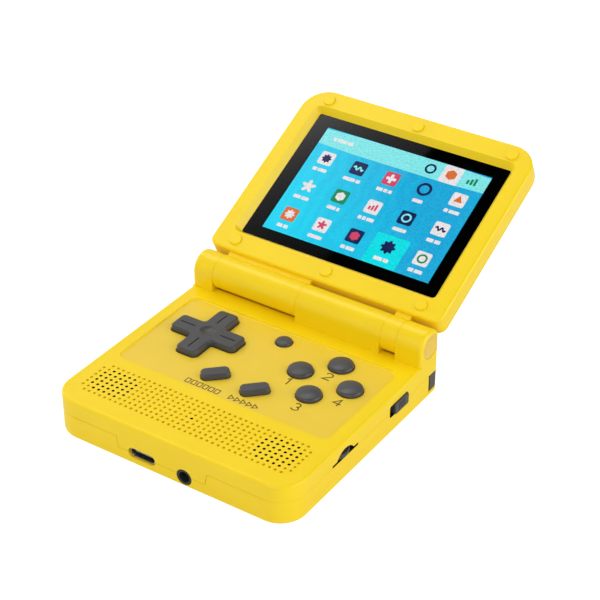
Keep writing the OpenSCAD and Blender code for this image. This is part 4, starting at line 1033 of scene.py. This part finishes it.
    def build(self, yellow: Material, black: Material, painted_dimple_shade: Material) -> None:
        """Makes the linings, with the black sheets and the dimples' discs of painted shade, and makes them
        ride on the base.

        Args:
            yellow: The shells' material.
            black: The black of the painted shade in the holes and the slots.
            painted_dimple_shade: The dimples' discs, a painted shade.
        """
        pieces = (("panel_bead", [self.bead()], yellow, "yellow_plastic"),
                  ("seam_lip", self.lip(), yellow, "yellow_plastic"),
                  ("barrel_rings", self.barrel(), yellow, "yellow_plastic"),
                  # The black sheets in the open holes and the side's slots are painted shade.
                  ("hole_painted_shade", self.holes(), black, "black_plastic"),
                  ("slot_painted_shade", self.slots(), black, "black_plastic"),
                  # The dimples' darker discs are painted shade.
                  ("dimple_shade_discs", self.dots(), painted_dimple_shade, "yellow_plastic"))
        for name, parts, finish, slot in pieces:
            made = solid(name, finish, parts)
            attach(made, "base")


@dataclass
class Housing:
    """The moulded yellow shells, with the panel, the knuckles and the lid's two halves.

    Attributes:
        lid: The lid's frame.
        yellow: The shells' plastic.
        panel: The panel's.
        cap: The hinge end caps', glossier.
        lining: The black of the painted shade in the holes and the slots.
        painted_dimple_shade: The darker floors of the grille's dimples, a painted shade.
    """
    lid: LidFrame
    yellow: Plastic = Plastic("satin_yellow", (0.97, 0.695, 0.002), (0.95, 0.67, 0.002), (0.30, 0.34),
                              depth=0.002 * MM)
    panel: Plastic = Plastic("panel_yellow", (0.90, 0.63, 0.03), (0.87, 0.60, 0.025), (0.30, 0.34),
                             0.5 * MM, 0.002 * MM, 0.8)
    cap: Plastic = Plastic("cap_yellow", (0.86, 0.58, 0.06), (0.82, 0.54, 0.05), (0.14, 0.20), specular=0.9)
    lining: Plastic = Plastic("painted_shade_black", (0.006, 0.006, 0.006), (0.008, 0.008, 0.008), (0.5, 0.6),
                              specular=0.2)
    painted_dimple_shade: Plastic = Plastic("dimple_painted_shade", (0.40, 0.31, 0.05), (0.36, 0.28, 0.045), (0.5, 0.6),
                             specular=0.3)

    def build(self, frame: dict) -> None:
        """Dresses the shells and the panel, and adds the trims."""
        yellow = self.yellow.make()
        dress(frame, yellow, "base_top_shell", "hinge_knuckles", "base_bottom_shell", "battery_cover",
              "lid_front_frame", "lid_back_shell", "lid_bumpers")
        dress(frame, self.cap.make(), "hinge_end_caps")
        dress(frame, self.panel.make(), "control_panel")
        Trims(self.lid).build(yellow, self.lining.make(), self.painted_dimple_shade.make())


@dataclass
class Controls:
    """The buttons, wheel and knob, and the rubber under them.

    Attributes:
        charcoal: The plastic of everything that a finger moves.
        rubber: The pads'.
    """
    charcoal: Plastic = Plastic("satin_charcoal", (0.060, 0.060, 0.063), (0.068, 0.068, 0.071), (0.30, 0.40),
                                0.3 * MM, 0.003 * MM)
    rubber: Plastic = Plastic("pad_silicone", (0.70, 0.70, 0.67), (0.62, 0.62, 0.60), (0.5, 0.62))

    def build(self, frame: dict) -> None:
        """Dresses every button."""
        dress(frame, self.charcoal.make(), "dpad_pivot", "dpad_cross", "action_button_left",
              "action_button_top", "action_button_right", "action_button_bottom", "menu_button",
              "select_button", "start_button", "shoulder_button_left", "shoulder_button_right",
              "volume_wheel", "power_switch_knob")
        dress(frame, self.rubber.make(), "action_pad", "option_pad", "menu_pad", "dpad_pad")


@dataclass
class Insides:
    """The parts inside the shells and in their openings.

    Attributes:
        black: The black mouldings.
        wrap: The battery's wrap.
        film: The flex cable's film.
    """
    black: Plastic = Plastic("matt_black", (0.022, 0.022, 0.024), (0.03, 0.03, 0.032), (0.42, 0.52))
    wrap: Plastic = Plastic("battery_wrap_blue", (0.09, 0.13, 0.27), (0.10, 0.15, 0.30), (0.2, 0.3))
    film: Plastic = Plastic("flex_amber", (0.55, 0.24, 0.04), (0.45, 0.18, 0.03), (0.25, 0.35))

    def build(self, frame: dict) -> None:
        """Dresses the inner parts."""
        dress(frame, Metal("plated_steel", (0.60, 0.61, 0.63)).make(), "battery_cover_screw", "case_screws",
              "board_screws", "usb_socket", "card_reader", "power_switch_body", "shoulder_pins",
              "shoulder_spring_left", "shoulder_spring_right", "hinge_bush", "hinge_cartridge",
              "hinge_spring", "hinge_shaft", "lid_screws", "display_bracket")
        dress(frame, Metal("gold_plate", (0.83, 0.60, 0.24)).make(), "battery_contacts")
        dress(frame, Board("solder_resist", (0.015, 0.13, 0.06), (0.03, 0.22, 0.10)).make(), "main_board")
        dress(frame, self.black.make(), "board_chips", "speaker_left", "speaker_right", "headphone_socket",
              "memory_card", "volume_control_body", "shoulder_switches")
        dress(frame, self.wrap.make(), "battery")
        dress(frame, self.film.make(), "display_flex_lower", "display_flex_upper")


@dataclass
class Display:
    """The cover glass, the black border under it and the lit display.

    Attributes:
        lid: The lid's frame.
        border: The black of the border.
        diffuser: The backlight's plastic.
    """
    lid: LidFrame
    border: Plastic = Plastic("border_black", (0.0008, 0.0008, 0.001), (0.0012, 0.0012, 0.0014), (0.5, 0.6),
                              0.4 * MM, 0.001 * MM, 0.0)
    diffuser: Plastic = Plastic("diffuser_white", (0.80, 0.80, 0.80), (0.76, 0.76, 0.77), (0.5, 0.6))

    def printed_border(self, finish: Material) -> None:
        """The black print on the back of the glass: a flat frame from the glass's edge to the picture's.

        Args:
            finish: Its material.
        """
        low, high = 0.92 * MM, 0.94 * MM
        outer = rounded(35.5 * MM, 25.6 * MM, (0.8 * MM, 0.8 * MM), 0.0) + (0, 40.5 * MM)
        inner = rounded(30.7 * MM, 21.5 * MM, (0.05 * MM, 0.05 * MM), 0.0) + (0, 40.9 * MM)
        rings = [np.c_[flat, np.full(len(flat), n)]
                 for flat, n in ((outer, low), (outer, high), (inner, high), (inner, low))]
        made = solid("border_print", finish, [sleeve(np.stack(rings))], self.lid.place)
        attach(made, "lid")

    def build(self, frame: dict) -> None:
        """Dresses the display and lays its picture."""
        dress(frame, Glass("cover_glass", self.lid).make(), "screen_lens")
        border = self.border.make()
        dress(frame, border, "lens_gasket")
        self.printed_border(border)
        ground = Backdrop("lit_ground", srgb(0, 214, 246), srgb(0, 150, 212), srgb(60, 228, 250), self.lid)
        dress(frame, ground.make(), "display_panel")
        dress(frame, self.diffuser.make(), "display_backlight")
        colours = {"ice": srgb(140, 248, 250), "white": srgb(250, 245, 248), "navy": srgb(22, 34, 92),
                   "orange": srgb(235, 120, 60), "rose": srgb(225, 75, 110), "green": srgb(20, 150, 95),
                   "bright": srgb(10, 240, 248)}
        Picture(self.lid).build({name: Lit("lit_" + name, colour).make() for name, colour in colours.items()})


@dataclass
class Studio:
    """Camera, lights, floor and world.

    Attributes:
        eye: Where the camera stands.
        target: What it looks at.
        lens: Its focal length in millimetres, on a sensor 36 mm wide.
        ambient: The strength of the world's light on dull surfaces.
        horizon: How bright the world looks in gloss near the horizon.
        card_slope: How the logarithm of the bright card's light grows along each axis.
        card_level: What is taken off that logarithm.
        card_most: The card's greatest brightness.
        card_side: The normal of the plane that bounds the card.
        left: The radiance of the softbox on the left.
        front: That of the one in front.
        right: That of the one on the right.
        floor_lit: The floor's own light on dull surfaces.
        floor_gloss: How bright it looks in gloss.
        floor_seen: How much it is lifted where the camera sees it.
    """
    eye: Triple = (245.50 * MM, -339.21 * MM, 310.98 * MM)
    target: Triple = (-20.18 * MM, 58.10 * MM, 0.0)
    lens: float = 104.20
    ambient: float = 0.55
    horizon: float = 0.50
    card_slope: Triple = (-27.31, 27.54, 0.0)
    card_level: float = 15.52
    card_most: float = 5.0
    card_side: Triple = (0.8058, -0.4051, 0.4320)
    left: float = 1.6
    front: float = 2.4
    right: float = 2.8
    floor_lit: float = 0.25
    floor_gloss: float = 0.10
    floor_seen: float = 0.62

    def stand(self, name: str, data: ID, place: Triple, aim: Triple) -> Object:
        """Sets up a camera or a lamp.

        Args:
            name: Its name.
            data: The camera or the lamp.
            place: Where it stands.
            aim: The point that it faces.

        Returns:
            The object, linked to the scene.
        """
        made = bpy.data.objects.new(name, data)
        bpy.context.scene.collection.objects.link(made)
        made.location = place
        made.rotation_euler = (Vector(aim) - Vector(place)).to_track_quat("-Z", "Y").to_euler()
        return made

    def camera(self) -> None:
        """Makes the camera and the scene's own."""
        data = bpy.data.cameras.new("camera")
        data.lens, data.sensor_width, data.clip_start, data.clip_end = self.lens, 36.0, 0.01, 50.0
        bpy.context.scene.camera = self.stand("camera", data, self.eye, self.target)

    def softbox(self, name: str, place: Triple, aim: Triple, size: Place, radiance: float,
                glossy: bool = True) -> None:
        """An area light of an even radiance: its power is radiance * pi * its area.

        Args:
            name: Its name.
            place: Its centre.
            aim: The point that it faces.
            size: Its width and height.
            radiance: The brightness of its face, where 1 is white.
            glossy: Whether gloss shows it.
        """
        data = bpy.data.lights.new(name, "AREA")
        data.shape, data.size, data.size_y = "RECTANGLE", *size
        data.energy = radiance * math.pi * size[0] * size[1]
        self.stand(name, data, place, aim).visible_glossy = glossy

    def world(self) -> None:
        """An even light on the object; in gloss a pale horizon, a dark sky and one bright card in it.

        The card's brightness in a direction d is exp(card_slope . d - card_level), at most card_most. The
        card lies on one side of the plane through the origin, and ends towards the horizon. A ray from the
        camera, a mirror or glass sees it; a dull surface gets the even light.
        """
        world = bpy.data.worlds.new("world")
        bpy.context.scene.world = world
        world.use_nodes = True
        g = Nodes(world.node_tree)
        heading = g.node("TexCoord").outputs["Generated"]
        x, _, z = g.axes(heading)
        power = g.step("EXPONENT", g.step("SUBTRACT", g.along(heading, self.card_slope), self.card_level))
        inside = g.step("MULTIPLY", g.span(g.along(heading, self.card_side), 1, 0, -0.001, 0.003, True),
                        g.span(z, 0, 1, 0.72, 0.82, True))
        card = g.step("MULTIPLY", g.step("MINIMUM", power, self.card_most), inside)
        pale = g.step("MULTIPLY", g.span(z, self.horizon, 0, 0.45, 0.78, True),
                      g.span(x, 2.0, 0.7, -0.54, -0.40, True))
        path = g.node("LightPath").outputs
        seen = g.step("MAXIMUM", g.step("MAXIMUM", path["Is Camera Ray"], path["Is Glossy Ray"]),
                      path["Is Transmission Ray"])
        strength = g.node("Mix")
        strength.inputs[2].default_value = self.ambient
        g.join(seen, strength, 0)
        g.join(g.step("ADD", card, pale), strength, 3)
        background = g.node("Background")
        g.join(strength.outputs[0], background, "Strength")
        g.join(background.outputs[0], g.node("OutputWorld"), 0)

    def floor(self) -> None:
        """A white floor that keeps a soft shadow: a dull white, lifted a little where it is seen."""
        g = Graph("floor_white")
        white = g.mix(g.span(g.noise(0.4), 0, 1), (0.60, 0.60, 0.60), (0.585, 0.585, 0.585))
        g.join(white, g.shader, "Base Color")
        g.set(Roughness=1.0, Specular_IOR_Level=0.0, Emission_Color=(1, 1, 1, 1))
        path = g.node("LightPath").outputs
        lift = g.step("ADD", g.span(path["Is Camera Ray"], 0, self.floor_seen, 0, 1),
                      g.span(path["Is Glossy Ray"], self.floor_lit, self.floor_gloss, 0, 1))
        g.join(lift, g.shader, "Emission Strength")
        corners = np.array([[-3, -3, 0], [3, -3, 0], [3, 3, 0], [-3, 3, 0]], float)
        made = solid("floor", g.material, [(corners, [[0, 1, 2, 3]])])

    def build(self) -> None:
        """Makes the camera, the floor, the world and the lights."""
        self.camera()
        self.floor()
        self.world()
        self.softbox("softbox_left", (-1.02, 0.12, 0.66), (0, 0.02, 0.01), (1.44, 1.5), self.left, False)
        self.softbox("softbox_front", (0.1, -1.4, 0.9), (0, 0, 0.02), (1.2, 0.8), self.front)
        self.softbox("softbox_right", (1.3, 0.2, 0.55), (0, 0, 0.02), (1.0, 1.1), self.right)
        bpy.context.scene.view_settings.view_transform = "Standard"
        LOG.info("built the studio")


def main() -> None:
    """Builds the scene."""
    logging.basicConfig(level=logging.INFO, format="%(message)s")
    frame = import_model()
    Studio().build()
    lid = LidFrame()
    Housing(lid).build(frame)
    Controls().build(frame)
    Insides().build(frame)
    Display(lid).build(frame)
    PrintedMarks().build()


if __name__ == "__main__":
    main()
